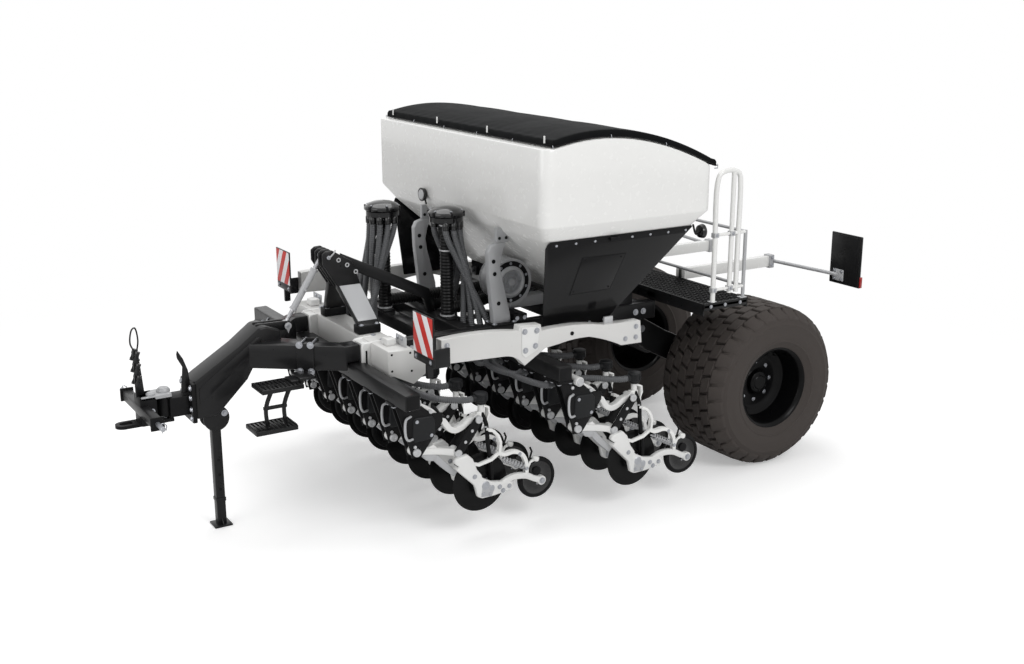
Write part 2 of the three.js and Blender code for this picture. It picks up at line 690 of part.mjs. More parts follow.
// The mast: two cheeks over splayed legs on the frame's front member, and a tie bar to the back.
function mastBody() {
  const z = frameTop;
  const [y0, y1] = [frontBeam.front + 5, frontBeam.front + 195];
  const cheek = [
    [-3600, z + 600], [-3520, z + 625], [-3350, z + 515], [y1 - 45, z + 330],
    [y0 - 45, z + 325], [-3600, z + 520],
  ];
  const tie = [
    [-3400, z + 470], [-3400, z + 570], [-2640, z + 200], [-2590, z + 100], [-2590, z + gap],
    [-2650, z + gap], [-2690, z + 120],
  ];
  return join(
    bothSides((side) => [
      plateX(cheek, ...span(side, 22, 120)),
      hull(
        corners(span(side, 60, 120), [y0 - 45, y1 - 45], [z + 320, z + 340]),
        corners(span(side, 290, 350), [y0 + 20, y1], [z + 60, z + 70])),
      box(span(side, 270, 370), [y0, y1], [z + gap, z + 70]),
    ]),
    box([-60, 60], [-3410, -3360], [z + 440, z + 520]),
    plateX(tie, -20, 20),
  );
}
place('mast', mastBody(), black);

function frontSteps() {
  const low = armLevel[0] - gap;
  const treads = [[-4150, low - 45], [-4210, low - 350]].map(([y, z]) => box(
    [380, 610], [y - 160, y + 160], [z - 15, z + 15]));
  const struts = [-70, 70].map((dy) => [
    bar([500, -4110 + dy, low - 40], [500, -4180 + dy, low - 200], 14, 8),
    bar([500, -4180 + dy, low - 200], [500, -4180 + dy, low - 350], 14, 8),
  ]);
  return join(
    treads,
    struts.flat(),
    box([380, 560], [-4000, -3880], [low - 20, low]),
    box([400, 540], [-4060, -3960], [low - 45, low - 15]),
    box([490, 510], [-4250, -4110], [low - 215, low - 190]),
  );
}
place('front_steps', frontSteps(), black);

// ---------------------------------------------------------------- markers, deck and rails
for (const [name, side] of [['marker_left', 1], ['marker_right', -1]]) {
  const z = frameTop;
  const plateY = frontBeam.front + 68;
  place(name, join(
    box(span(side, marker.halfWidth - marker.front, marker.halfWidth), [plateY, plateY + 12],
      [z + 65, z + 365]),
    box(span(side, marker.halfWidth - marker.front, marker.halfWidth), [plateY, plateY + 20],
      [z + 10, z + 70]),
    box(span(side, beamX + gap, beamX + 40), [plateY + 10, plateY + 290], [z + 10, z + 130]),
  ), signRed);
}

function walkway() {
  const half = crossHalf + 60;
  const rearEdge = deck.front + deck.depth;
  return join(
    box([-half, half], [deck.front, rearEdge], [frameTop + deck.thickness - 40, frameTop + deck.thickness]),
    box([-half, half], [deck.front, deck.front + 12], [frameTop, frameTop + deck.thickness]),
    box([-half, half], [rearEdge - 12, rearEdge], [frameTop + 20, frameTop + deck.thickness]),
    bothSides((side) => box(
      span(side, rail.halfSpacing - 60, rail.halfSpacing + 60), [deck.front, rearEdge],
      [frameTop + 20, frameTop + 70])),
    bothSides((side) => box(
      span(side, rail.halfSpacing - 45, rail.halfSpacing + 45), [deck.front, deck.front + 12],
      [frameLow, frameTop + 10])),
  );
}
place('walkway', walkway(), black);

const deckTop = frameTop + deck.thickness;

function ladder() {
  const x = crossHalf + 40;
  const top = frameTop + 1160;
  const [y0, y1, y2] = [deck.front + 110, deck.front + 280, deck.front + 350];
  const post = (y, low) => bar([x, y, low], [x, y, top], 17, 6);
  const railY = deck.front + deck.depth - 40;
  const cross = (z) => bar([-x, railY, z], [x, railY, z], 13, 6);
  const side = (z) => bar([x, y0, z], [x, railY, z], 13, 6);
  return join(
    post(y0, deckTop + gap), post(y1, deckTop + 60), post(y2, deckTop + 60),
    [top - 17, frameTop + 650, frameTop + 200].map((z) => bar([x, y0, z], [x, y2, z], 13, 6)),
    side(frameTop + 200), side(frameTop + 650),
    cross(frameTop + 200), cross(frameTop + 650),
    [x, -x].map((px) => bar([px, railY, deckTop + gap], [px, railY, frameTop + 663], 15, 6)),
  );
}
place('ladder', ladder(), white);

function rearLightFrame() {
  const z = frameTop + 150;
  const start = deck.front + deck.depth + gap;
  const panelY = rearReach - 30;
  const armX = 422;
  return join(
    bothSides((side) => [
      box(span(side, armX - 30, armX + 30), [start, 700], [z - 70, z + 30]),
      box(span(side, armX - 60, armX + 60), [start, start + 15], [frameTop + 30, z + 30]),
      box(span(side, marker.rearHalfWidth - marker.rearWidth, marker.rearHalfWidth),
        [panelY, rearReach], [frameTop + 50, frameTop + 50 + marker.rearHeight]),
      bar([side * 380, 700, z - 20], [side * 1150, panelY + 5, z - 20], 16, 8),
    ]),
    box([-armX, armX], [start, start + 15], [frameTop + 30, frameTop + 90]),
  );
}
place('rear_light_frame', rearLightFrame(), white);

export default machine;
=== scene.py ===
"""Trailed direct seed drill: the look of every piece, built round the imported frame.

Metres, +Z up, the hitch towards -Y and the machine's left side towards +X. Stations along Y are
counted from the axle, and Shape.piece moves them to the frame's origin. The row units are
drawn round the middle of their disc, with heights above the ground.
"""

from __future__ import annotations

import logging
import math
from dataclasses import dataclass, field
from enum import Enum
from typing import Any, Iterable, Sequence

import bmesh
import bpy
import numpy as np
from mathutils import Matrix, Vector


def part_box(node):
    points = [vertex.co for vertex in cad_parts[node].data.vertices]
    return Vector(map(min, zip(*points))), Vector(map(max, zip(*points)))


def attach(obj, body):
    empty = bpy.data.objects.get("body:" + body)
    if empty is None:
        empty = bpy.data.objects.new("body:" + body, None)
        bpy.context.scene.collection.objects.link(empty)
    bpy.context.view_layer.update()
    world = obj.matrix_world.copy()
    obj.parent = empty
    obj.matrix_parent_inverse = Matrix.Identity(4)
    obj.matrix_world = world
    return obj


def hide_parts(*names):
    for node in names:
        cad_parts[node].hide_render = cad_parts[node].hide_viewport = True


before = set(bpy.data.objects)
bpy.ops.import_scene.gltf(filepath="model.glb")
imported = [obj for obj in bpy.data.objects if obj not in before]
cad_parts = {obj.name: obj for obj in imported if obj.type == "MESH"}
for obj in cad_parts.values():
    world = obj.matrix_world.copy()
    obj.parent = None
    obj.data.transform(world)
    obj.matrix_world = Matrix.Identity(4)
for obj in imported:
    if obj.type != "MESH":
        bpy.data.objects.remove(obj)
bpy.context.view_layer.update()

LOG = logging.getLogger("seed_drill")
Point = Sequence[float]
Outline = Sequence[Sequence[float]]

ROOT = "chassis"
LEFT, BACK, AHEAD, UP, DOWN = (1, 0, 0), (0, 1, 0), (0, -1, 0), (0, 0, 1), (0, 0, -1)
SIDES = (1, -1)
SIDE_NAMES = {1: "left", -1: "right"}


def middle(node: str) -> Vector:
    """Return the middle of a CAD node's box."""
    low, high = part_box(node)
    return (Vector(low) + Vector(high)) / 2


AXLE_Y = middle("wheel_left").y
GAP = 0.0003              # between pieces that touch
FRAME_TOP = 1.45          # upper face of the rails, which many pieces stand on
ROW_PITCH = 0.1875        # from one seed row to the next
UNIT_PITCH = 2 * ROW_PITCH
FRONT_DISC_Y = -2.871     # the discs' axis in each rank
REAR_DISC_Y = -1.6
HEAD_Y = {1: -2.60, -1: -2.91}    # the distribution heads, by side
OUTLET_FRONT = -1.72      # front of the metering box under the funnel
TYRE_RADIUS = 0.704
LINK_PINS = ((-3.881, 1.518), (-3.553, 2.023))    # the turnbuckle's ends, on drawbar and mast


# ------------------------------------------------------------------------------ node building
def linear(colour: str) -> tuple[float, float, float, float]:
    """Turn an sRGB hex colour into the linear colour that shaders take.

    Args:
        colour: Six hex digits, such as "f1f1ef".

    Returns:
        Red, green, blue and alpha.
    """
    channels = [int(colour[i:i + 2], 16) / 255 for i in (0, 2, 4)]
    return tuple(c / 12.92 if c <= 0.04045 else ((c + 0.055) / 1.055) ** 2.4 for c in channels) + (1.0,)


def add_node(tree: bpy.types.NodeTree, kind: str, settings: dict | None = None,
             inputs: dict | None = None) -> bpy.types.Node:
    """Add one node with its settings, values and incoming links.

    Args:
        tree: The tree that takes the node.
        kind: Blender's identifier of the node.
        settings: Attribute values by name.
        inputs: A value or an output socket for each input, by name or number.

    Returns:
        The new node.
    """
    node = tree.nodes.new(kind)
    for name, value in (settings or {}).items():
        setattr(node, name, value)
    for key, value in (inputs or {}).items():
        if isinstance(value, bpy.types.NodeSocket):
            tree.links.new(value, node.inputs[key])
        else:
            node.inputs[key].default_value = value
    return node


def math_node(tree: bpy.types.NodeTree, operation: str, first: Any, second: Any) -> bpy.types.NodeSocket:
    """Add one sum to a tree.

    Args:
        tree: The tree that takes it.
        operation: Blender's name of the sum.
        first: A number or an output socket.
        second: A number or an output socket.

    Returns:
        The result's socket.
    """
    return add_node(tree, "ShaderNodeMath", {"operation": operation}, {0: first, 1: second}).outputs[0]


def mix_tones(tree: bpy.types.NodeTree, share: bpy.types.NodeSocket, first: str,
              second: str) -> bpy.types.NodeSocket:
    """Add a blend of two colours.

    Args:
        tree: The material's tree.
        share: How much of the second colour shows.
        first: The first colour, as sRGB hex digits.
        second: The second colour.

    Returns:
        The colour's socket.
    """
    return add_node(tree, "ShaderNodeMix", {"data_type": "RGBA"}, {
        0: share, 6: linear(first), 7: linear(second)}).outputs[2]


# ------------------------------------------------------------------------------ finishes
@dataclass(frozen=True)
class Finish:
    """How one material looks: its tones, its gloss and the fine relief of its surface."""

    name: str
    colour: str
    shade: str
    roughness: float
    metallic: float = 0.0
    coat: float = 0.0
    specular: float = 0.5
    drift_mm: float = 300.0
    grain_mm: float = 3.0
    relief_mm: float = 0.05
    gloss_swing: float = 0.06

    def material(self) -> bpy.types.Material:
        """Build the material, the first time it is asked for.

        Returns:
            The material.
        """
        known = bpy.data.materials.get(self.name)
        if known:
            return known
        material = bpy.data.materials.new(self.name)
        material.use_nodes = True
        tree = material.node_tree
        tree.nodes.clear()
        place = add_node(tree, "ShaderNodeTexCoord").outputs["Object"]
        shader = add_node(tree, "ShaderNodeBsdfPrincipled")
        shader.inputs["Metallic"].default_value = self.metallic
        shader.inputs["Coat Weight"].default_value = self.coat
        shader.inputs["Specular IOR Level"].default_value = self.specular
        shader.inputs["Coat Roughness"].default_value = 0.08
        tree.links.new(self.tone(tree, place), shader.inputs["Base Color"])
        tree.links.new(self.gloss(tree, place), shader.inputs["Roughness"])
        tree.links.new(self.relief(tree, place), shader.inputs["Normal"])
        add_node(tree, "ShaderNodeOutputMaterial", inputs={"Surface": shader.outputs["BSDF"]})
        return material

    def noise(self, tree: bpy.types.NodeTree, place: bpy.types.NodeSocket, size_mm: float,
              detail: float = 3.0) -> bpy.types.NodeSocket:
        """Add a noise whose patches have a real size.

        Args:
            tree: The material's tree.
            place: The coordinates it reads.
            size_mm: The patches' size.
            detail: The noise's octaves.

        Returns:
            The noise's value.
        """
        return add_node(tree, "ShaderNodeTexNoise", inputs={
            "Vector": place, "Scale": 1000 / size_mm, "Detail": detail}).outputs["Fac"]

    def tone(self, tree: bpy.types.NodeTree, place: bpy.types.NodeSocket) -> bpy.types.NodeSocket:
        """Return the colour: the first tone, drifting softly towards the second."""
        return mix_tones(tree, self.noise(tree, place, self.drift_mm), self.colour, self.shade)

    def gloss(self, tree: bpy.types.NodeTree, place: bpy.types.NodeSocket) -> bpy.types.NodeSocket:
        """Make a roughness that wanders a little round its value.

        Args:
            tree: The material's tree.
            place: The coordinates it reads.

        Returns:
            The roughness's socket.
        """
        wander = self.noise(tree, place, self.drift_mm / 6)
        return add_node(tree, "ShaderNodeMapRange", inputs={
            "Value": wander, "To Min": self.roughness - self.gloss_swing,
            "To Max": self.roughness + self.gloss_swing}).outputs["Result"]

    def grain(self, tree: bpy.types.NodeTree, place: bpy.types.NodeSocket) -> bpy.types.NodeSocket:
        """Return the height of the fine relief."""
        return self.noise(tree, place, self.grain_mm, 2.0)

    def relief(self, tree: bpy.types.NodeTree, place: bpy.types.NodeSocket) -> bpy.types.NodeSocket:
        """Turn the fine relief into a normal.

        Args:
            tree: The material's tree.
            place: The coordinates it reads.

        Returns:
            The normal's socket.
        """
        return add_node(tree, "ShaderNodeBump", inputs={
            "Strength": 0.6, "Distance": self.relief_mm / 1000,
            "Height": self.grain(tree, place)}).outputs["Normal"]


@dataclass(frozen=True)
class Brushed(Finish):
    """Metal with fine drawn lines along one direction."""

    stretch: tuple[float, float, float] = (1.0, 14.0, 14.0)

    def grain(self, tree: bpy.types.NodeTree, place: bpy.types.NodeSocket) -> bpy.types.NodeSocket:
        """Return the drawn lines."""
        drawn = add_node(tree, "ShaderNodeMapping", inputs={"Vector": place, "Scale": self.stretch})
        return self.noise(tree, drawn.outputs["Vector"], self.grain_mm * 10, 2.0)


@dataclass(frozen=True)
class Tarpaulin(Finish):
    """Coated cloth: a fine square weave under slack wrinkles across the roof."""

    thread_mm: float = 5.0
    texture_threads: float = 6.28   # threads in a metre at the texture's scale of 1, about
    wrinkle_mm: float = 260.0
    wrinkle_depth: float = 18.0
    slack: tuple[float, float, float] = (0.35, 1.0, 0.2)

    def grain(self, tree: bpy.types.NodeTree, place: bpy.types.NodeSocket) -> bpy.types.NodeSocket:
        """Make the weave with the wrinkles under it.

        Args:
            tree: The material's tree.
            place: The coordinates it reads.

        Returns:
            The height's socket.
        """
        scale = 1000 / self.thread_mm / self.texture_threads
        threads = [add_node(tree, "ShaderNodeTexWave", {"bands_direction": way}, {
            "Vector": place, "Scale": scale}).outputs["Fac"] for way in "XY"]
        weave = math_node(tree, "MAXIMUM", *threads)
        slack = add_node(tree, "ShaderNodeMapping", inputs={"Vector": place, "Scale": self.slack})
        wrinkles = self.noise(tree, slack.outputs["Vector"], self.wrinkle_mm, 2.0)
        deep = math_node(tree, "MULTIPLY", wrinkles, self.wrinkle_depth)
        return math_node(tree, "ADD", weave, deep)


@dataclass(frozen=True)
class Stripes(Finish):
    """Retroreflective sheet with diagonal stripes in two colours."""

    width_mm: float = 70.0
    slope: float = 1.7
    slant: float = 1.97       # length of (1, slope)

    def tone(self, tree: bpy.types.NodeTree, place: bpy.types.NodeSocket) -> bpy.types.NodeSocket:
        """Lay the stripes, which fall outwards on each side of the machine.

        Args:
            tree: The material's tree.
            place: The coordinates it reads.

        Returns:
            The colour's socket.
        """
        axes = add_node(tree, "ShaderNodeSeparateXYZ", inputs={"Vector": place})
        steep = math_node(tree, "MULTIPLY", math_node(tree, "ABSOLUTE", axes.outputs["X"], 0.0), self.slope)
        slant = math_node(tree, "ADD", steep, axes.outputs["Z"])
        period = self.width_mm / 1000 * 2 * self.slant
        red = math_node(tree, "LESS_THAN", math_node(tree, "FLOORED_MODULO", slant, period), period / 2)
        return mix_tones(tree, red, self.shade, self.colour)


@dataclass(frozen=True)
class TyreRubber(Finish):
    """Vulcanised rubber: brown-black, dull and mottled, with a fine moulded grain."""

    mottle_mm: float = 18.0

    def tone(self, tree: bpy.types.NodeTree, place: bpy.types.NodeSocket) -> bpy.types.NodeSocket:
        """Lay small mottling over the slow drift.

        Args:
            tree: The material's tree.
            place: The coordinates it reads.

        Returns:
            The colour's socket.
        """
        broad = self.noise(tree, place, self.drift_mm)
        both = math_node(tree, "MULTIPLY", broad, self.noise(tree, place, self.mottle_mm, 5.0))
        spread = add_node(tree, "ShaderNodeMapRange", inputs={
            "Value": both, "From Min": 0.1, "From Max": 0.42}).outputs["Result"]
        return mix_tones(tree, spread, self.colour, self.shade)


# Powder coat: baked paint, smooth and glossy, with the faint orange peel that softens reflections.
WHITE_COAT = Finish("white_powder_coat", "ececea", "e8e8e6", 0.26, coat=0.35, grain_mm=9, relief_mm=0.003)
# Enamel of the frame: a greyer white, over heavier plate.
FRAME_WHITE = Finish("frame_enamel", "d8d7d5", "d0d0ce", 0.30, coat=0.25, grain_mm=6, relief_mm=0.02)
# Powder coat in satin black: it shows soft grey highlights along rounded edges.
BLACK_COAT = Finish("black_powder_coat", "1c1c1d", "161617", 0.30, coat=0.05, grain_mm=5, relief_mm=0.04,
                    specular=0.22)
# Cast iron under black paint: coarser sand-mould relief, duller. The same black also paints the shade in
# holes and a slot, as flat dark discs and a sheet.
BLACK_CASTING_AND_HOLE_SHADE = Finish("painted_casting_and_hole_shade", "0e0e0f", "141415", 0.42, grain_mm=2.5, relief_mm=0.25,
                       specular=0.14)
# Cast iron under white paint: the same relief, bright.
WHITE_CASTING = Finish("white_casting", "e8e8e6", "d9d9d8", 0.34, coat=0.15, grain_mm=3, relief_mm=0.2)
# Deep-drawn rim, black and glossy, nearly black inside.
RIM_PAINT = Finish("rim_paint", "0b0b0c", "080808", 0.30, coat=0.06, grain_mm=6, relief_mm=0.03,
                   specular=0.08)
# Pressed ABS cover: very smooth and glossy.
GLOSS_ABS = Finish("gloss_abs", "121213", "0e0e0f", 0.16, coat=0.4, grain_mm=8, relief_mm=0.02,
                   gloss_swing=0.03, specular=0.35)
# Polyethylene sheet of the side panels: dark grey, half gloss.
PANEL_SHEET = Finish("panel_polyethylene", "131314", "101011", 0.14, coat=0.06, grain_mm=9, relief_mm=0.05,
                     specular=0.22)
# Moulded polypropylene of cups and covers: dark grey, fine spark-eroded grain.
MOULDING = Finish("moulded_polypropylene", "1e1f21", "191a1b", 0.42, grain_mm=1.6, relief_mm=0.08,
                  specular=0.2)
# Vulcanised rubber of the flotation tyres.
TYRE = TyreRubber("tyre_rubber", "332f26", "1c1a14", 0.48, drift_mm=260, grain_mm=2.2, relief_mm=0.25,
                  specular=0.15)
# Black rubber of press and depth wheels: cleaner and darker.
WHEEL_RUBBER = Finish("wheel_rubber", "121213", "0c0c0d", 0.5, grain_mm=1.8, relief_mm=0.15, specular=0.14)
# Spiral polyurethane hose: mid grey, slightly waxy.
HOSE = Finish("hose_polyurethane", "5e5f61", "545557", 0.38, grain_mm=4, relief_mm=0.08, specular=0.3)
# Big air duct: the same in black.
DUCT = Finish("duct_rubber", "0f0f10", "0b0b0b", 0.42, grain_mm=4, relief_mm=0.1, specular=0.2)
# PVC-coated polyester tarpaulin.
CLOTH = Tarpaulin("pvc_tarpaulin", "0f1011", "0c0d0e", 0.62, drift_mm=500, relief_mm=0.35, specular=0.05)
# Zinc plated steel of bolts and pins: pale blue-grey metal.
ZINC = Finish("zinc_plate", "b9bbc0", "a3a5aa", 0.34, metallic=0.85, drift_mm=20, grain_mm=1.0,
              relief_mm=0.03)
# Machined and drawn steel of rods: straight fine lines.
DRAWN_STEEL = Brushed("drawn_steel", "c6c6c8", "b4b4b7", 0.3, metallic=0.8, drift_mm=60, grain_mm=0.8,
                      relief_mm=0.03)
# Light grey machine enamel of the fan housing and the turnbuckle. On the mast's sloping legs the same grey
# is a painted reflection of the bright surroundings in glossy black plate.
GREY_ENAMEL_AND_PAINTED_REFLECTION = Finish("grey_enamel_and_painted_reflection", "b4b5b7", "a6a7a9", 0.35, coat=0.15, grain_mm=5, relief_mm=0.05)
# Galvanised sheet: pale grey with soft large crystals.
GALVANISED = Finish("galvanised_sheet", "c9cacb", "b2b3b5", 0.38, metallic=0.25, drift_mm=30,
                    grain_mm=12, relief_mm=0.05)
# Boron steel disc, black coated and lightly polished.
DISC_STEEL = Finish("coated_disc_steel", "0e0e0f", "0a0a0a", 0.32, metallic=0.2, drift_mm=90,
                    grain_mm=1.2, relief_mm=0.05, specular=0.2)
# Retroreflective sheet: signal red and white stripes.
MARKER_SHEET = Stripes("reflective_sheet", "c4251a", "e9e8ea", 0.4, grain_mm=2.5, relief_mm=0.05)
# Red acrylic of the rear lamps.
LAMP_RED = Finish("lamp_acrylic", "a3120e", "8d100c", 0.12, coat=0.5, grain_mm=5, relief_mm=0.05)


# ------------------------------------------------------------------------------ shapes
def about(centre: float, half: float) -> tuple[float, float]:
    """Return both ends of a stretch round its middle."""
    return (centre - half, centre + half)


def prism_faces(count: int) -> list:
    """Return the faces of a prism between two rings of corners.

    Args:
        count: Corners in each ring.

    Returns:
        Corner numbers, face by face.
    """
    faces = [list(range(count)), list(range(2 * count - 1, count - 1, -1))]
    return faces + [(i, (i + 1) % count, (i + 1) % count + count, i + count) for i in range(count)]


def bevelled(points: np.ndarray, faces: list, width: float, segments: int = 2) -> tuple:
    """Turn a closed shell's faces outwards and round its sharp edges.

    Args:
        points: The corners.
        faces: Corner numbers, face by face.
        width: The rounding's size, or 0 for none.
        segments: Faces across a rounded edge.

    Returns:
        The new corners and faces.
    """
    mesh = bmesh.new()
    corners = [mesh.verts.new(p) for p in points]
    for face in faces:
        mesh.faces.new([corners[i] for i in face])
    bmesh.ops.recalc_face_normals(mesh, faces=mesh.faces)
    if width > 0:
        sharp = [e for e in mesh.edges if e.is_manifold and e.calc_face_angle(0) > 0.45]
        bmesh.ops.bevel(mesh, geom=sharp, offset=width, segments=segments, profile=0.5,
                        affect="EDGES", clamp_overlap=True)
    mesh.verts.index_update()
    out = (np.array([v.co[:] for v in mesh.verts]), [[v.index for v in f.verts] for f in mesh.faces])
    mesh.free()
    return out


def smooth_path(points: Sequence[Point], step: float = 0.02) -> list[Vector]:
    """Return a smooth line through points, as a centripetal Catmull-Rom curve.

    Args:
        points: The points it passes through.
        step: The distance between the points returned, about.

    Returns:
        Points along the line, with both ends.
    """
    knots = [Vector(p) for p in points]
    knots = [knots[0] * 2 - knots[1]] + knots + [knots[-1] * 2 - knots[-2]]
    line = []
    for a, b, c, d in zip(knots, knots[1:], knots[2:], knots[3:]):
        t = [0.0]
        for p, q in ((a, b), (b, c), (c, d)):
            t.append(t[-1] + max((q - p).length, 1e-6) ** 0.5)
        count = max(2, round((c - b).length / step))
        for i in range(count):
            u = t[1] + (t[2] - t[1]) * i / count
            ab, bc, cd = (p.lerp(q, (u - t[k]) / (t[k + 1] - t[k]))
                          for k, (p, q) in enumerate(((a, b), (b, c), (c, d))))
            abc = ab.lerp(bc, (u - t[0]) / (t[2] - t[0]))
            bcd = bc.lerp(cd, (u - t[1]) / (t[3] - t[1]))
            line.append(abc.lerp(bcd, (u - t[1]) / (t[2] - t[1])))
    return line + [knots[-2]]


def smooth_outline(points: Outline, step: float = 0.02) -> list[tuple[float, float]]:
    """Return a smooth line through (y, z) points."""
    return [(p.y, p.z) for p in smooth_path([(0, *p) for p in points], step)]


class Shape:
    """The solids of one piece, with a finish on each face."""

    def __init__(self) -> None:
        """Start with no solids."""
        self.points: list[np.ndarray] = []
        self.faces: list[tuple[int, ...]] = []
        self.finishes: list[Finish] = []
        self.total = 0

    def add(self, finish: Finish, points: np.ndarray, faces: Iterable[Sequence[int]]) -> Shape:
        """Add a shell.

        Args:
            finish: Its finish.
            points: Its corners.
            faces: Corner numbers, face by face.

        Returns:
            The shape itself.
        """
        added = [tuple(self.total + i for i in face) for face in faces]
        self.points.append(np.asarray(points, float))
        self.faces += added
        self.finishes += [finish] * len(added)
        self.total += len(points)
        return self

    def join(self, *others: Shape) -> Shape:
        """Add other shapes' solids.

        Args:
            others: The shapes.

        Returns:
            The shape itself.
        """
        for other in others:
            if other.total:
                self.faces += [tuple(self.total + i for i in face) for face in other.faces]
                self.finishes += other.finishes
                self.points.append(other.cloud())
                self.total += other.total
        return self

    def cloud(self) -> np.ndarray:
        """Return all corners as one array."""
        return np.vstack(self.points) if self.points else np.zeros((0, 3))

    def turned(self, matrix: Matrix) -> Shape:
        """Move a copy.

        Args:
            matrix: The move, which keeps the shape's handedness.

        Returns:
            The copy.
        """
        grid = np.array(matrix)
        copy = Shape()
        copy.points = [self.cloud() @ grid[:3, :3].T + grid[:3, 3]]
        copy.faces, copy.finishes, copy.total = list(self.faces), list(self.finishes), self.total
        return copy

    def moved(self, x: float = 0.0, y: float = 0.0, z: float = 0.0) -> Shape:
        """Return a copy shifted along the axes."""
        return self.turned(Matrix.Translation((x, y, z)))

    def mirrored(self) -> Shape:
        """Mirror a copy across X, with its faces still pointing outwards.

        Returns:
            The copy.
        """
        copy = Shape()
        copy.points = [self.cloud() * (-1, 1, 1)]
        copy.faces = [tuple(reversed(face)) for face in self.faces]
        copy.finishes, copy.total = list(self.finishes), self.total
        return copy

    def sided(self, side: int) -> Shape:
        """Return the shape for the left side, or its mirror image for the right."""
        return self if side > 0 else self.mirrored()

    def pair(self) -> Shape:
        """Return the shape together with its mirror image."""
        return Shape().join(self, self.mirrored())

    def block(self, finish: Finish, x: Point, y: Point, z: Point, edge: float = 0.004) -> Shape:
        """Add a rectangular block with rounded edges.

        Args:
            finish: Its finish.
            x: Low and high end along X.
            y: Low and high end along Y.
            z: Low and high end along Z.
            edge: The rounding of its edges.

        Returns:
            The shape itself.
        """
        return self.plate(finish, [(y[0], z[0]), (y[1], z[0]), (y[1], z[1]), (y[0], z[1])], x, edge)

    def plate(self, finish: Finish, outline: Outline, ends: Point, edge: float = 0.003,
              across: str = "x", segments: int = 2) -> Shape:
        """Add a flat plate with rounded edges.

        Args:
            finish: Its finish.
            outline: Its outline, as (y, z), (x, z) or (x, y) points.
            ends: Low and high end across the plate.
            edge: The rounding of its edges.
            across: The axis across the plate.
            segments: Faces across a rounded edge.

        Returns:
            The shape itself.
        """
        slot = "xyz".index(across)
        points = [np.insert(np.asarray(p, float), slot, end) for end in ends for p in outline]
        return self.add(finish, *bevelled(np.array(points), prism_faces(len(outline)), edge, segments))

    def hull(self, finish: Finish, points: Sequence[Point], edge: float = 0.004, segments: int = 2) -> Shape:
        """Add the convex block through points.

        Args:
            finish: Its finish.
            points: Its corners.
            edge: The rounding of its edges.
            segments: Faces across a rounded edge.

        Returns:
            The shape itself.
        """
        mesh = bmesh.new()
        corners = [mesh.verts.new(p) for p in points]
        hull = bmesh.ops.convex_hull(mesh, input=corners)
        bmesh.ops.delete(mesh, geom=[v for v in hull["geom_interior"] if isinstance(v, bmesh.types.BMVert)])
        bmesh.ops.dissolve_limit(mesh, angle_limit=0.01, verts=mesh.verts, edges=mesh.edges)
        mesh.verts.index_update()
        shell = np.array([v.co[:] for v in mesh.verts]), [[v.index for v in f.verts] for f in mesh.faces]
        mesh.free()
        return self.add(finish, *bevelled(*shell, edge, segments))

    def lathe(self, finish: Finish, profile: Outline, at: Point, axis: Point = LEFT,
              sides: int = 32) -> Shape:
        """Add a turned body.

        Args:
            finish: Its finish.
            profile: (radius, distance along the axis) points, from the axis round to the axis.
            at: Where the axis starts.
            axis: The axis's direction.
            sides: Faces round it.

        Returns:
            The shape itself.
        """
        turn = Vector(LEFT).rotation_difference(Vector(axis).normalized()).to_matrix()
        points, rings = [], []
        for number, (radius, along) in enumerate(profile):
            first = len(points)
            if number and (radius, along) == profile[0]:
                rings.append(rings[0])
                continue
            if radius < 1e-6:
                points.append(turn @ Vector((along, 0, 0)) + Vector(at))
                rings.append([first] * sides)
                continue
            for k in range(sides):
                angle = 2 * math.pi * k / sides
                spoke = Vector((along, radius * math.cos(angle), radius * math.sin(angle)))
                points.append(turn @ spoke + Vector(at))
            rings.append(list(range(first, first + sides)))
        return self.skin(finish, points, rings, closed=False)

    def skin(self, finish: Finish, points: Sequence[Point], rings: Sequence[Sequence[int]],
             closed: bool = True) -> Shape:
        """Add a shell over rings of the same number of corners, with closed ends.

        Args:
            finish: Its finish.
            points: All corners.
            rings: Corner numbers, ring by ring. A ring may be one corner, repeated.
            closed: Whether the first and last ring get a face across them.

        Returns:
            The shape itself.
        """
        faces = [list(rings[0]), list(rings[-1])] if closed else []
        for low, high in zip(rings, rings[1:]):
            for k in range(len(low)):
                quad = [low[k], low[(k + 1) % len(low)], high[(k + 1) % len(low)], high[k]]
                corners = [c for i, c in enumerate(quad) if c not in quad[:i]]
                if len(corners) > 2:
                    faces.append(corners)
        return self.add(finish, *bevelled(np.array([tuple(p) for p in points]), faces, 0))

    def rod(self, finish: Finish, start: Point, end: Point, radius: float, sides: int = 20,
            chamfer: float = 0.0015) -> Shape:
        """Add a straight round bar with chamfered ends.

        Args:
            finish: Its finish.
            start: Where it starts.
            end: Where it ends.
            radius: Its radius.
            sides: Faces round it.
            chamfer: The chamfer's size.

        Returns:
            The shape itself.
        """
        length = (Vector(end) - Vector(start)).length
        cut = min(chamfer, radius / 3, length / 3)
        profile = [(0, 0), (radius - cut, 0), (radius, cut), (radius, length - cut),
                   (radius - cut, length), (0, length)]
        return self.lathe(finish, profile, start, Vector(end) - Vector(start), sides)

    def stub(self, finish: Finish, place: Point, radius: float, height: float, axis: Point = LEFT,
             sides: int = 20) -> Shape:
        """Add a short plain cylinder: a nut, a washer or a flat dark disc of painted shade in place of a
        hole.

        Args:
            finish: Its finish.
            place: The middle of its foot.
            radius: Its radius.
            height: Its height.
            axis: The way it stands.
            sides: Faces round it.

        Returns:
            The shape itself.
        """
        return self.lathe(finish, [(0, 0), (radius, 0), (radius, height), (0, height)], place, axis, sides)

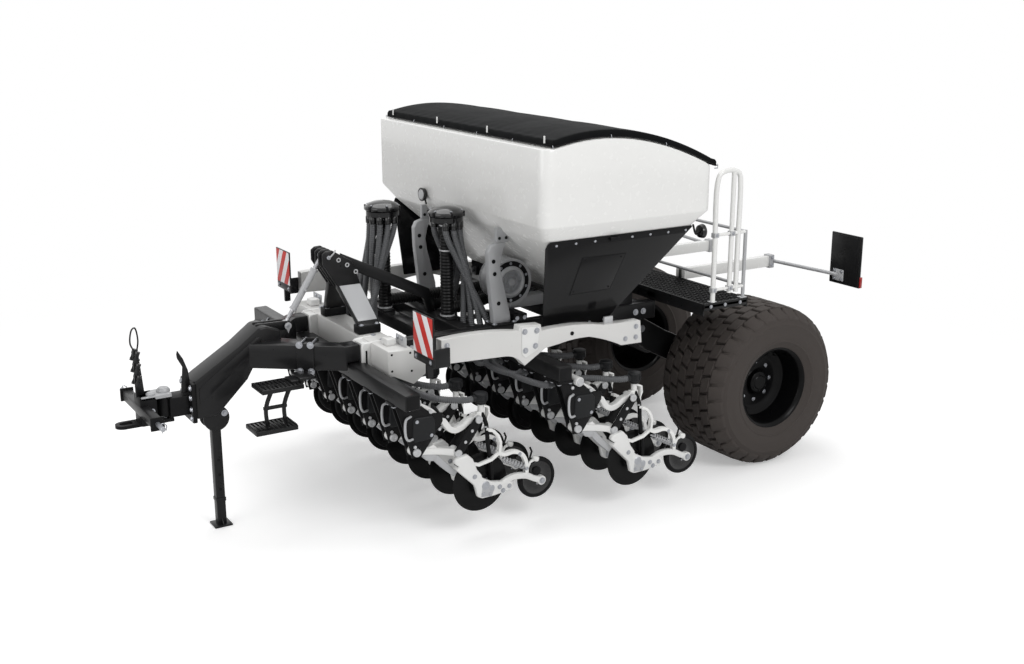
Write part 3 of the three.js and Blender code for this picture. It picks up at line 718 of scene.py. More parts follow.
    def tube(self, finish: Finish, line: Sequence[Point], radius: float, sides: int = 12) -> Shape:
        """Add a round bar that follows a line.

        Args:
            finish: Its finish.
            line: The points it follows.
            radius: Its radius.
            sides: Faces round it.

        Returns:
            The shape itself.
        """
        line = [Vector(p) for p in line]
        tangents = [(line[min(i + 1, len(line) - 1)] - line[max(i - 1, 0)]).normalized()
                    for i in range(len(line))]
        normal = tangents[0].orthogonal().normalized()
        points, rings = [], []
        for i, (place, tangent) in enumerate(zip(line, tangents)):
            if i:
                normal = tangents[i - 1].rotation_difference(tangent) @ normal
            sideways = tangent.cross(normal)
            rings.append(list(range(len(points), len(points) + sides)))
            for k in range(sides):
                angle = 2 * math.pi * k / sides
                points.append(place + (normal * math.cos(angle) + sideways * math.sin(angle)) * radius)
        return self.skin(finish, points, rings)

    def bolts(self, places: Sequence[Point], axis: Point, size: float, finish: Finish = ZINC,
              washer: bool = True) -> Shape:
        """Add a hexagon bolt head at each place.

        Args:
            places: The middle of each bolt's foot.
            axis: The way they stand.
            size: The head's width, about.
            finish: Their finish.
            washer: Whether a washer lies under each.

        Returns:
            The shape itself.
        """
        for place in places:
            self.lathe(finish, hex_profile(size), place, axis, 6)
            if washer:
                self.stub(finish, place, size * 0.95, size * 0.14, axis, 16)
        return self

    def strap(self, finish: Finish, line: Outline, depth: float, ends: Point, edge: float = 0.004) -> Shape:
        """Add a flat bar of even depth that follows a line.

        Args:
            finish: Its finish.
            line: (y, z) points along its middle.
            depth: Its depth across the line.
            ends: Low and high end along X.
            edge: The rounding of its edges.

        Returns:
            The shape itself.
        """
        upper, lower = [], []
        for i, (y, z) in enumerate(line):
            before, after = line[max(i - 1, 0)], line[min(i + 1, len(line) - 1)]
            along = Vector((after[0] - before[0], after[1] - before[1])).normalized() * depth / 2
            upper.append((y - along.y, z + along.x))
            lower.append((y + along.y, z - along.x))
        return self.plate(finish, upper + lower[::-1], ends, edge)

    def mesh(self, name: str) -> bpy.types.Mesh:
        """Make one Blender mesh of the solids, at the stations they were drawn at.

        Args:
            name: The mesh's name.

        Returns:
            The mesh, with a material slot for each finish.
        """
        mesh = bpy.data.meshes.new(name)
        mesh.from_pydata(self.cloud().tolist(), [], self.faces)
        order = list(dict.fromkeys(self.finishes))
        for finish in order:
            mesh.materials.append(finish.material())
        mesh.polygons.foreach_set("material_index", [order.index(f) for f in self.finishes])
        mesh.shade_smooth()
        mesh.set_sharp_from_angle(angle=math.radians(38))
        return mesh

    def piece(self, name: str, body: str, slot: str, *stands_for: str) -> bpy.types.Object:
        """Make the shape a piece of the object.

        Args:
            name: The piece's name.
            body: The CAD body it rides on.
            slot: The record's material slot for the piece; not used.
            stands_for: The CAD nodes it replaces.

        Returns:
            The new object.
        """
        mesh = self.moved(y=AXLE_Y).mesh(name)
        piece = bpy.data.objects.new(name, mesh)
        bpy.context.scene.collection.objects.link(piece)
        if stands_for:
            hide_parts(*stands_for)
        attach(piece, body)
        LOG.info("%s: %d faces on %s", name, len(self.faces), body)
        return piece


def hex_profile(size: float) -> list[tuple[float, float]]:
    """Return the profile of a bolt head, for a lathe with six sides."""
    return [(0, 0), (size * 0.62, 0), (size * 0.62, size * 0.4), (size * 0.52, size * 0.5), (0, size * 0.5)]


def arc(centre: Point, radius: float, start: float, end: float, count: int = 8) -> list[tuple]:
    """Draw an arc in a plane.

    Args:
        centre: Its centre.
        radius: Its radius.
        start: The first point's angle, in degrees.
        end: The last point's angle, in degrees.
        count: The stretches between its points.

    Returns:
        Its points.
    """
    angles = [math.radians(start + (end - start) * i / count) for i in range(count + 1)]
    return [(centre[0] + radius * math.cos(a), centre[1] + radius * math.sin(a)) for a in angles]


# ------------------------------------------------------------------------------ repeats
class Repeat(Enum):
    """The ways in which a pattern is repeated."""

    ROW = "copies_in_a_row"
    RING = "copies_round_the_x_axis"


class Repeater:
    """Geometry Nodes that copy a pattern in a row or round the X axis, and that rib a hose."""

    def new_tree(self, name: str, sockets: dict[str, str]) -> tuple:
        """Start a tree with named inputs.

        Args:
            name: The tree's name.
            sockets: Socket kind for each input name.

        Returns:
            The tree, its input node and a finisher that closes the tree on a geometry socket.
        """
        tree = bpy.data.node_groups.new(name, "GeometryNodeTree")
        tree.interface.new_socket("Geometry", in_out="INPUT", socket_type="NodeSocketGeometry")
        for label, kind in sockets.items():
            tree.interface.new_socket(label, in_out="INPUT", socket_type=kind)
        tree.interface.new_socket("Geometry", in_out="OUTPUT", socket_type="NodeSocketGeometry")
        start = add_node(tree, "NodeGroupInput")

        def close(geometry: bpy.types.NodeSocket) -> None:
            """Close the tree: realize the copies, give them their finish and put them out.

            Args:
                geometry: The socket with the copies.
            """
            real = add_node(tree, "GeometryNodeRealizeInstances", inputs={0: geometry})
            dressed = add_node(tree, "GeometryNodeSetMaterial", inputs={
                "Geometry": real.outputs[0], "Material": start.outputs["Finish"]})
            add_node(tree, "NodeGroupOutput", inputs={0: dressed.outputs[0]})

        return tree, start, close

    def copies_tree(self, kind: Repeat) -> bpy.types.NodeTree:
        """Build the tree that copies a pattern, the first time it is asked for.

        Args:
            kind: In a row, or round the X axis.

        Returns:
            The tree.
        """
        known = bpy.data.node_groups.get(kind.value)
        if known:
            return known
        tree, start, close = self.new_tree(kind.value, {
            "Pattern": "NodeSocketObject", "Count": "NodeSocketInt", "Step": "NodeSocketVector",
            "Finish": "NodeSocketMaterial"})
        step = start.outputs["Step"] if kind is Repeat.ROW else (0, 0, 0)
        line = add_node(tree, "GeometryNodeMeshLine", inputs={
            "Count": start.outputs["Count"], "Offset": step})
        turns = {}
        if kind is Repeat.RING:
            share = math_node(tree, "DIVIDE", math.tau, start.outputs["Count"])
            angle = math_node(tree, "MULTIPLY", share, add_node(tree, "GeometryNodeInputIndex").outputs[0])
            euler = add_node(tree, "ShaderNodeCombineXYZ", inputs={"X": angle})
            turn = add_node(tree, "FunctionNodeEulerToRotation", inputs={0: euler.outputs[0]})
            turns = {"Rotation": turn.outputs[0]}
        pattern = add_node(tree, "GeometryNodeObjectInfo", inputs={"Object": start.outputs["Pattern"]})
        placed = add_node(tree, "GeometryNodeInstanceOnPoints", inputs={
            "Points": line.outputs["Mesh"], "Instance": pattern.outputs["Geometry"], **turns})
        close(placed.outputs["Instances"])
        return tree

    def hose_tree(self) -> bpy.types.NodeTree:
        """Build the tree that makes a ribbed hose along a line, the first time it is asked for.

        Returns:
            The tree.
        """
        known = bpy.data.node_groups.get("ribbed_hose")
        if known:
            return known
        tree, start, close = self.new_tree("ribbed_hose", {
            "Radius": "NodeSocketFloat", "Rib pitch": "NodeSocketFloat", "Rib depth": "NodeSocketFloat",
            "Sides": "NodeSocketInt", "Finish": "NodeSocketMaterial"})
        line = add_node(tree, "GeometryNodeMeshToCurve", inputs={0: start.outputs["Geometry"]})
        half = math_node(tree, "DIVIDE", start.outputs["Rib pitch"], 2.0)
        even = add_node(tree, "GeometryNodeResampleCurve", {"mode": "LENGTH"}, {
            "Curve": line.outputs[0], "Length": half})
        odd = math_node(tree, "MODULO", add_node(tree, "GeometryNodeInputIndex").outputs[0], 2.0)
        drop = math_node(tree, "MULTIPLY", odd, start.outputs["Rib depth"])
        thick = math_node(tree, "SUBTRACT", start.outputs["Radius"], drop)
        ring = add_node(tree, "GeometryNodeCurvePrimitiveCircle", {"mode": "RADIUS"}, {
            "Resolution": start.outputs["Sides"], "Radius": 1.0})
        wall = add_node(tree, "GeometryNodeCurveToMesh", inputs={
            "Curve": even.outputs[0], "Profile Curve": ring.outputs[0], "Scale": thick,
            "Fill Caps": True})
        close(wall.outputs[0])
        return tree

    def run(self, tree: bpy.types.NodeTree, mesh: bpy.types.Mesh, values: dict) -> tuple:
        """Run a tree on a mesh.

        Args:
            tree: The tree.
            mesh: What the tree gets as its geometry.
            values: A value for each named input.

        Returns:
            The corners and faces of the result.
        """
        carrier = bpy.data.objects.new("carrier", mesh)
        bpy.context.scene.collection.objects.link(carrier)
        modifier = carrier.modifiers.new("grow", "NODES")
        modifier.node_group = tree
        names = {item.name: item.identifier for item in tree.interface.items_tree
                 if item.item_type == "SOCKET" and item.in_out == "INPUT"}
        for name, value in values.items():
            modifier[names[name]] = value
        grown = bpy.data.meshes.new_from_object(carrier.evaluated_get(bpy.context.evaluated_depsgraph_get()))
        corners = np.empty(len(grown.vertices) * 3)
        grown.vertices.foreach_get("co", corners)
        faces = [tuple(p.vertices) for p in grown.polygons]
        bpy.data.objects.remove(carrier)
        bpy.data.meshes.remove(mesh)
        bpy.data.meshes.remove(grown)
        return corners.reshape(-1, 3), faces

    def copies(self, pattern: Shape, kind: Repeat, count: int, step: Point = (0, 0, 0)) -> Shape:
        """Copy a pattern.

        Args:
            pattern: What is copied.
            kind: In a row, or round the X axis.
            count: How many there are.
            step: From one to the next in a row.

        Returns:
            All the copies.
        """
        result = Shape()
        for finish in dict.fromkeys(pattern.finishes):
            own = Shape()
            chosen = [f for f, g in zip(pattern.faces, pattern.finishes) if g == finish]
            used = sorted({i for f in chosen for i in f})
            number = {old: new for new, old in enumerate(used)}
            own.add(finish, pattern.cloud()[used], [[number[i] for i in f] for f in chosen])
            source = bpy.data.objects.new("pattern", own.mesh("pattern"))
            bpy.context.scene.collection.objects.link(source)
            result.add(finish, *self.run(self.copies_tree(kind), bpy.data.meshes.new("line"), {
                "Pattern": source, "Count": count, "Step": Vector(step), "Finish": finish.material()}))
            old = source.data
            bpy.data.objects.remove(source)
            bpy.data.meshes.remove(old)
        return result

    def hose(self, line: Sequence[Point], radius: float, finish: Finish, pitch: float = 0.014,
             depth: float = 0.0035, sides: int = 12) -> Shape:
        """Make a ribbed hose.

        Args:
            line: The points its middle follows.
            radius: Its radius over the ribs.
            finish: Its finish.
            pitch: From one rib to the next.
            depth: The grooves' depth.
            sides: Faces round it.

        Returns:
            The hose.
        """
        mesh = bpy.data.meshes.new("line")
        mesh.from_pydata([tuple(p) for p in line], [(i, i + 1) for i in range(len(line) - 1)], [])
        return Shape().add(finish, *self.run(self.hose_tree(), mesh, {
            "Radius": radius, "Rib pitch": pitch, "Rib depth": depth, "Sides": sides,
            "Finish": finish.material()}))


REPEAT = Repeater()


# ------------------------------------------------------------------------------ running gear
@dataclass
class FlotationWheel:
    """A wide low-pressure tyre on a deep black rim, drawn for the left side."""

    side: int
    radius: float = TYRE_RADIUS
    blocks: int = 29
    rows: tuple = ((0.004, 0.094), (0.102, 0.19), (0.198, 0.284), (0.292, 0.38))
    lean: float = 0.42
    nut_circle: float = 0.168
    nuts: int = 8
    track: float = 0.941
    groove: float = 0.034

    def crown(self, x: float) -> float:
        """Return the outer radius of the tread at a distance from the middle."""
        stations = (0, 0.22, 0.30, 0.335, 0.37, 0.388)
        return float(np.interp(abs(x), stations, (self.radius, 0.7025, 0.692, 0.675, 0.638, 0.60)))

    def tread_block(self, near: float, far: float, lean: float, half_angle: float) -> Shape:
        """Make one block of the tread.

        Args:
            near: Its end next to the middle.
            far: Its outer end.
            lean: Turn round the tyre per metre of width.
            half_angle: Half its width round the tyre, in radians.

        Returns:
            The block, centred on the top of the tyre.
        """
        points = []
        for x in (near, far):
            for way in (-1, 1):
                for radius, spread in ((self.crown(x) - self.groove - 0.012, 1.12), (self.crown(x), 0.92)):
                    angle = lean * abs(x) + way * half_angle * spread
                    points.append((x, radius * math.sin(angle), radius * math.cos(angle)))
        return Shape().hull(TYRE, points, 0.005, 1)

    def tread(self) -> Shape:
        """Draw the tread: rows of broad blocks, each row half a block on from the next.

        Returns:
            The blocks, all round the tyre.
        """
        pitch = math.tau / self.blocks
        pattern = Shape()
        for number, (near, far) in enumerate(self.rows):
            row = self.tread_block(near, far, self.lean, pitch * 0.43)
            turns = [Matrix.Rotation(pitch / 2 * ((number + way) % 2), 4, "X") for way in (0, 1)]
            pattern.join(row.turned(turns[0]), row.mirrored().turned(turns[1]))
        return REPEAT.copies(pattern, Repeat.RING, self.blocks)

    def carcass(self) -> Shape:
        """Draw the tyre under its blocks, with smooth side walls and a bead ridge.

        Returns:
            The tyre without its tread.
        """
        deep = self.radius - self.groove
        half = [(deep, 0.0), (deep - 0.002, 0.2), (deep - 0.012, 0.3), (0.635, 0.352), (0.60, 0.378),
                (0.57, 0.3885), (0.565, 0.3925), (0.555, 0.3925), (0.55, 0.391), (0.50, 0.3985),
                (0.46, 0.397), (0.425, 0.388), (0.42, 0.3905), (0.412, 0.3905), (0.407, 0.385),
                (0.38, 0.371), (0.362, 0.358), (0.345, 0.345), (0.33, 0.30), (0.33, 0.0)]
        loop = half + [(r, -x) for r, x in half[-2:0:-1]] + [half[0]]
        return Shape().lathe(TYRE, loop, (0, 0, 0), sides=112)

    def rim(self) -> Shape:
        """Draw the deep rim with its disc, hub, nuts and valve.

        Returns:
            The rim.
        """
        face = [(0, 0.176), (0.055, 0.176), (0.062, 0.170), (0.086, 0.170), (0.095, 0.163), (0.1, 0.12),
                (0.108, 0.112), (0.13, 0.108), (0.215, 0.104), (0.245, 0.112), (0.262, 0.128),
                (0.285, 0.132), (0.298, 0.14), (0.304, 0.16), (0.308, 0.25), (0.313, 0.262),
                (0.3135, 0.315), (0.322, 0.332), (0.333, 0.342), (0.343, 0.351), (0.352, 0.354),
                (0.356, 0.349), (0.35, 0.335), (0.332, 0.318), (0.331, 0)]
        back = [(0.331, -0.318), (0.35, -0.335), (0.356, -0.349), (0.352, -0.354), (0.343, -0.351),
                (0.322, -0.332), (0.31, -0.25), (0.295, 0.08), (0, 0.08)]
        shape = Shape().lathe(RIM_PAINT, face + back, (0, 0, 0), sides=72)
        nut = Shape().bolts([(0.104, 0, self.nut_circle)], LEFT, 0.02, ZINC)
        shape.join(REPEAT.copies(nut, Repeat.RING, self.nuts))
        cap = Shape().bolts([(0.170, 0, 0.074)], LEFT, 0.012, BLACK_CASTING_AND_HOLE_SHADE, washer=False)
        shape.join(REPEAT.copies(cap, Repeat.RING, 6))
        shape.rod(BLACK_CASTING_AND_HOLE_SHADE, (0.13, 0.18, 0.21), (0.17, 0.185, 0.215), 0.006, 8)
        return shape

    def build(self) -> None:
        """Build the wheel on its own body."""
        name = f"wheel_{SIDE_NAMES[self.side]}"
        whole = Shape().join(self.carcass(), self.tread(), self.rim()).sided(self.side)
        whole.moved(x=self.side * self.track, z=self.radius).piece(
            f"flotation_{name}", name, "tyre_rubber", name)


@dataclass
class AxleFrame:
    """The cross tube with its two swept arms and the wheel spindles."""

    arm: tuple = ((-1.06, 1.298), (-0.86, 1.298), (-0.80, 1.25), (-0.56, 1.11), (0.09, 0.80),
                  (0.09, 0.61), (-0.09, 0.61), (-0.78, 0.97), (-0.93, 1.10))
    arm_span: tuple = (0.37, 0.49)
    height: float = TYRE_RADIUS

    def build(self) -> None:
        """Build the axle as one piece."""
        shape = Shape().block(BLACK_COAT, (-0.5, 0.5), (-0.075, 0.075), about(self.height, 0.075), 0.012)
        own = Shape().plate(BLACK_COAT, self.arm, self.arm_span, 0.01, segments=3)
        own.rod(BLACK_COAT, (0.48, 0, self.height), (0.995, 0, self.height), 0.055, 28)
        own.rod(BLACK_CASTING_AND_HOLE_SHADE, (0.485, 0, self.height), (0.53, 0, self.height), 0.105, 32, 0.006)
        own.block(BLACK_COAT, (0.352, 0.508), (-1.075, -0.845), (1.284, 1.299), 0.004)
        own.bolts([(0.53, *p) for p in arc((0, self.height), 0.08, 0, 315, 7)], LEFT, 0.018)
        own.bolts([(0.4901, -0.94, 1.2), (0.4901, -0.82, 1.16)], LEFT, 0.034)
        own.bolts([(0.4901, -0.02, 0.72)], LEFT, 0.04)
        shape.join(own.pair())
        shape.piece("axle_with_swept_arms", ROOT, "black_paint", "axle_frame")


@dataclass
class MainFrame:
    """The black ladder frame with the posts that carry the hopper."""

    top: float = FRAME_TOP
    low: float = 1.30
    front: float = -3.2397
    rear: float = -0.8303
    rail: tuple = (0.57, 0.67)
    cross: float = 1.23995
    post: tuple = (0.59, 0.65)

    def build(self) -> None:
        """Build the frame as one piece."""
        shape, level = Shape(), (self.low, self.top)
        own = Shape().block(BLACK_COAT, self.rail, (self.front, self.rear), level, 0.012)
        post = [(-2.4, 1.44), (-2.25, 1.44), (-2.255, 1.53), (-2.33, 1.83), (-2.345, 1.93), (-2.325, 2.02),
                (-2.29, 2.1), (-2.36, 2.1), (-2.425, 2.08), (-2.45, 2.03), (-2.445, 1.87)]
        own.plate(GREY_ENAMEL_AND_PAINTED_REFLECTION, post, self.post, 0.006)
        # Painted shade: flat black discs on both faces of each post stand in for its holes.
        for x in self.post:
            for y, z in ((-2.395, 1.86), (-2.405, 1.96), (-2.36, 1.62)):
                own.stub(BLACK_CASTING_AND_HOLE_SHADE, (x - 0.0015, y, z), 0.017, 0.003)
        own.block(BLACK_COAT, self.post, (-1.25, -1.05), (1.44, 1.79), 0.008)
        own.block(BLACK_COAT, (0.55, 0.69), (-2.43, -2.21), (FRAME_TOP, 1.462), 0.003)
        own.bolts([(x, y, 1.462) for x in (0.567, 0.673) for y in (-2.41, -2.23)], UP, 0.022)
        own.bolts([(0.67, y, 1.375) for y in (-3.2, -3.14, -1.6, -1.48, -1.03, -0.95)], LEFT, 0.028)
        shape.join(own.pair())
        wide = (-self.cross, self.cross)
        shape.block(BLACK_COAT, wide, (-1.62, -1.46), level, 0.012)
        inner = (-self.rail[0] - 0.005, self.rail[0] + 0.005)
        shape.block(BLACK_COAT, inner, (-1.05, -0.93), level, 0.01)
        for y in (-2.62, -2.91):
            shape.block(BLACK_COAT, inner, about(y, 0.06), (self.top - 0.1, self.top), 0.008)
        shape.piece("ladder_frame", ROOT, "black_paint", "main_frame")


def quadratic(start: Point, control: Point, end: Point, count: int = 12) -> list[tuple]:
    """Draw a quadratic curve.

    Args:
        start: Where it starts.
        control: The point it bends towards.
        end: Where it ends.
        count: How many points it gets.

    Returns:
        Its points, without the first.
    """
    line = []
    for i in range(1, count + 1):
        t = i / count
        shares = (1 - t) ** 2, 2 * t * (1 - t), t * t
        line.append(tuple(shares[0] * a + shares[1] * b + shares[2] * c
                          for a, b, c in zip(start, control, end)))
    return line


@dataclass
class SideBeam:
    """The wavy white beam along one side, in two halves bolted at a joint plate."""

    side: int
    outer: float = 1.32025
    thickness: float = 0.08
    top: float = FRAME_TOP
    front: float = -3.2347

    def outline(self) -> list[tuple]:
        """Draw the beam from the side: two arches over the row units.

        Returns:
            The (y, z) points of its outline.
        """
        z = self.top
        line = [(self.front, z - 0.02), (self.front, z + 0.158)]
        line += quadratic(line[-1], (-2.9, z + 0.185), (-2.59, z + 0.132))
        line += [(-2.583, z + 0.172), (-2.40, z + 0.16), (-2.39, z + 0.11)]
        line += quadratic(line[-1], (-2.06, z + 0.13), (-1.825, z + 0.075))
        line += [(-1.478, z + 0.062), (-1.46, z - 0.118), (-1.657, z - 0.112)]
        line += quadratic(line[-1], (-1.8, z - 0.04), (-1.96, z), 8)
        line += quadratic(line[-1], (-2.1, z + 0.01), (-2.23, z - 0.015), 6)
        line += [(-2.358, z - 0.03), (-2.539, z - 0.138)]
        line += quadratic(line[-1], (-2.6, z - 0.05), (-2.704, z - 0.041), 8)
        return line + quadratic(line[-1], (-2.9, z - 0.032), (self.front + 0.003, z - 0.02), 8)

    def build(self) -> None:
        """Build the beam with its joint plate and bolts."""
        x = self.outer
        shape = Shape().plate(FRAME_WHITE, self.outline(), (x - self.thickness, x), 0.009, segments=3)
        joint = [(-2.535, 1.375), (-2.43, 1.42), (-2.415, 1.598), (-2.57, 1.607), (-2.565, 1.40)]
        shape.plate(WHITE_CASTING, joint, (x - 0.004, x + 0.008), 0.004)
        shape.bolts([(x + 0.008, y, z) for y, z in ((-2.545, 1.575), (-2.44, 1.57), (-2.538, 1.43),
                                                   (-2.452, 1.455))], LEFT, 0.024)
        shape.bolts([(x, y, z) for y, z in ((-3.19, 1.565), (-3.19, 1.48), (-1.52, 1.47), (-1.52, 1.385),
                                           (-1.62, 1.385))], LEFT, 0.022)
        # Painted shade: a flat black disc stands in for a hole in the beam's face.
        shape.stub(BLACK_CASTING_AND_HOLE_SHADE, (x - 0.001, -2.12, 1.50), 0.016, 0.004)
        shape.block(GALVANISED, (x - 0.05, x - 0.03), (-1.80, -1.72), (1.515, 1.575), 0.003)
        name = f"side_beam_{SIDE_NAMES[self.side]}"
        shape.sided(self.side).piece(f"wavy_{name}", ROOT, "white_paint", name)


# ------------------------------------------------------------------------------ row units
@dataclass
class RowUnit:
    """One disc coulter unit, drawn round the middle of its disc for the left side."""

    upper_root: tuple = (-0.556, 1.168)
    upper_front: tuple = (-0.365, 1.02)
    lower_front: tuple = (-0.548, 0.786)
    upper_rear: tuple = (-0.035, 0.945)
    lower_rear: tuple = (-0.21, 0.714)
    cup: tuple = (0.012, 1.045)
    elbow_span: tuple = (0.045, 0.09)

    def holder(self) -> Shape:
        """Draw the clamp on the toolbar and the covered head of the linkage.

        Returns:
            The clamp and the head.
        """
        shape = Shape()
        outline = [(-0.72, 1.2), (-0.62, 1.2), (-0.50, 1.13), (-0.42, 1.06), (-0.33, 1.05),
                   (-0.33, 0.985), (-0.42, 0.86), (-0.51, 0.745), (-0.585, 0.745), (-0.60, 0.82)]
        for ends in ((-0.044, -0.032), (0.032, 0.044)):
            shape.plate(BLACK_CASTING_AND_HOLE_SHADE, outline, ends, 0.003)
        shape.plate(BLACK_CASTING_AND_HOLE_SHADE, [(-0.71, 1.2), (-0.63, 1.2), (-0.50, 1.10), (-0.44, 1.0), (-0.52, 0.88),
                                    (-0.585, 0.9)], (-0.034, 0.034), 0.006)
        for y, z, r in ((-0.60, 1.12, 0.013), (-0.56, 0.83, 0.012), (-0.36, 0.93, 0.011),
                        (-0.43, 1.075, 0.014)):
            shape.rod(GALVANISED, (-0.054, y, z), (0.054, y, z), r, 14)
        shape.plate(WHITE_CASTING, [(-0.585, 0.80), (-0.555, 0.835), (-0.52, 0.82), (-0.51, 0.79),
                                    (-0.56, 0.765)], (-0.03, 0.03), 0.005)
        cover = [(-0.585, 0.885), (-0.575, 1.035), (-0.555, 1.052), (-0.425, 1.048), (-0.395, 1.02),
                 (-0.395, 0.905), (-0.42, 0.868), (-0.56, 0.862)]
        shape.plate(MOULDING, cover, (-0.052, 0.056), 0.014, segments=3)
        shape.plate(BLACK_CASTING_AND_HOLE_SHADE, [(-0.735, 1.185), (-0.605, 1.185), (-0.605, 1.165), (-0.735, 1.165)],
                    (-0.062, 0.062), 0.004)
        shape.bolts([(x, y, 1.165) for x in (-0.045, 0.045) for y in (-0.72, -0.62)], DOWN, 0.02)
        grip = smooth_path([(0.0, -0.545, 1.06), (0.05, -0.60, 1.064), (0.068, -0.636, 1.058),
                            (0.074, -0.648, 1.03), (0.074, -0.644, 0.93), (0.07, -0.625, 0.90),
                            (0.05, -0.58, 0.895)], 0.012)
        shape.tube(GREY_ENAMEL_AND_PAINTED_REFLECTION, grip, 0.0095, 10)
        shape.bolts([(0.056, -0.545, 1.02), (0.056, -0.43, 0.90)], LEFT, 0.014)
        return shape

    def links(self) -> Shape:
        """Draw the white arms of the parallelogram, the casting under them and their pins.

        Returns:
            The linkage.
        """
        shape = Shape()
        upper = smooth_outline([
            self.upper_root, (-0.50, 1.12), (-0.42, 1.07), self.upper_front, (-0.32, 0.985),
            (-0.26, 0.905), (-0.215, 0.885), (-0.16, 0.898), (-0.11, 0.93), self.upper_rear])
        shape.strap(WHITE_CASTING, upper, 0.046, (-0.028, 0.028), 0.007)
        shape.strap(BLACK_CASTING_AND_HOLE_SHADE, [(-0.385, 1.095), (-0.335, 1.02), (-0.30, 1.005)], 0.02, (-0.031, 0.031),
                    0.003)
        lower = smooth_outline([self.lower_front, (-0.45, 0.772), (-0.33, 0.747), self.lower_rear], 0.03)
        shape.strap(WHITE_CASTING, lower, 0.052, (-0.038, 0.038), 0.008)
        shape.plate(GREY_ENAMEL_AND_PAINTED_REFLECTION, [(-0.50, 0.752), (-0.46, 0.70), (-0.41, 0.685), (-0.38, 0.70),
                                  (-0.385, 0.742)], (-0.03, 0.03), 0.008)
        shape.strap(GREY_ENAMEL_AND_PAINTED_REFLECTION, [(-0.40, 0.725), (-0.31, 0.63), (-0.215, 0.545)], 0.05, (-0.024, 0.024),
                    0.006)
        shape.plate(WHITE_CASTING, [(-0.50, 0.785), (-0.47, 0.825), (-0.445, 0.80), (-0.40, 0.815),
                                    (-0.37, 0.785), (-0.36, 0.765)], (-0.03, 0.03), 0.006)
        for (y, z), reach in ((self.upper_root, 0.086), (self.upper_rear, 0.034)):
            shape.rod(WHITE_CASTING, (-reach, y, z), (reach, y, z), 0.036, 20, 0.004)
        for y, z in (self.lower_front, self.lower_rear):
            shape.rod(WHITE_CASTING, (-0.042, y, z), (0.042, y, z), 0.038, 20, 0.004)
        for (y, z), end in ((self.upper_root, 0.094), (self.lower_front, 0.064), (self.upper_rear, 0.064),
                            (self.lower_rear, 0.064)):
            shape.lathe(GALVANISED, [(0, -0.118), (0.024, -0.118), (0.03, -0.112), (0.03, -0.004),
                                     (0.027, 0), (0.014, 0.0), (0.011, -0.004), (0, -0.004)],
                        (end, y, z), sides=20)
        for low, high in ((-0.056, -0.044), (0.044, 0.056)):
            shape.strap(BLACK_CASTING_AND_HOLE_SHADE, [self.upper_rear, (-0.075, 0.89), (-0.17, 0.765), self.lower_rear],
                        0.078, (low, high), 0.004)
        for t in (0.33, 0.66):
            y, z = (a + (b - a) * t for a, b in zip(self.upper_rear, self.lower_rear))
            shape.stub(GALVANISED, (0.0555, y, z), 0.012, 0.004, sides=14)
        return shape

    def metering_cup(self) -> Shape:
        """Draw the seed cup with its lid, bracket and the tube down to the disc.

        Returns:
            The cup and its tube.
        """
        y, low = self.cup
        cup = [(0, 0), (0.034, 0), (0.04, 0.006), (0.044, 0.022), (0.051, 0.026), (0.052, 0.07),
               (0.0535, 0.072), (0.0535, 0.08), (0.05, 0.086), (0.03, 0.092), (0, 0.093)]
        shape = Shape().lathe(MOULDING, cup, (0, y, low), UP, 24)
        shape.rod(WHITE_CASTING, (0, y, 0.985), (0, y, low + 0.004), 0.024, 16)
        shape.strap(WHITE_COAT, [(0.02, 1.035), (0.062, 1.02), (0.066, 0.97), (0.05, 0.93), (0.052, 0.875)],
                    0.014, (-0.02, 0.036), 0.003)
        shape.tube(MOULDING, [(0, y - 0.045, 1.095), (0, y - 0.075, 1.095)], 0.027, 14)
        ribs = Shape().block(MOULDING, (-0.003, 0.003), (0.05, 0.0555), (0.03, 0.068), 0.001)
        for angle in range(0, 360, 45):
            shape.join(ribs.turned(Matrix.Translation((0, y, low))
                                   @ Matrix.Rotation(math.radians(angle + 20), 4, "Z")))
        shape.plate(WHITE_COAT, [(-0.045, 0.925), (0.055, 0.895), (0.066, 0.905), (0.04, 0.94),
                                 (0.035, 0.99), (-0.03, 0.99)], (-0.02, 0.02), 0.003)
        drop = smooth_path([(0.0, y, 1.0), (0.012, 0.02, 0.96), (0.036, 0.035, 0.90), (0.036, 0.05, 0.74),
                            (0.036, 0.075, 0.56), (0.036, 0.082, 0.47), (0.036, 0.074, 0.41)], 0.03)
        shape.tube(WHEEL_RUBBER, drop, 0.0165, 12)
        for z, place in ((0.875, 0.037), (0.62, 0.064)):
            shape.lathe(GALVANISED, [(0.0185, -0.006), (0.0185, 0.006), (0.0165, 0.006), (0.0165, -0.006),
                                     (0.0185, -0.006)], (0.036, place, z), UP, 16)
        return shape

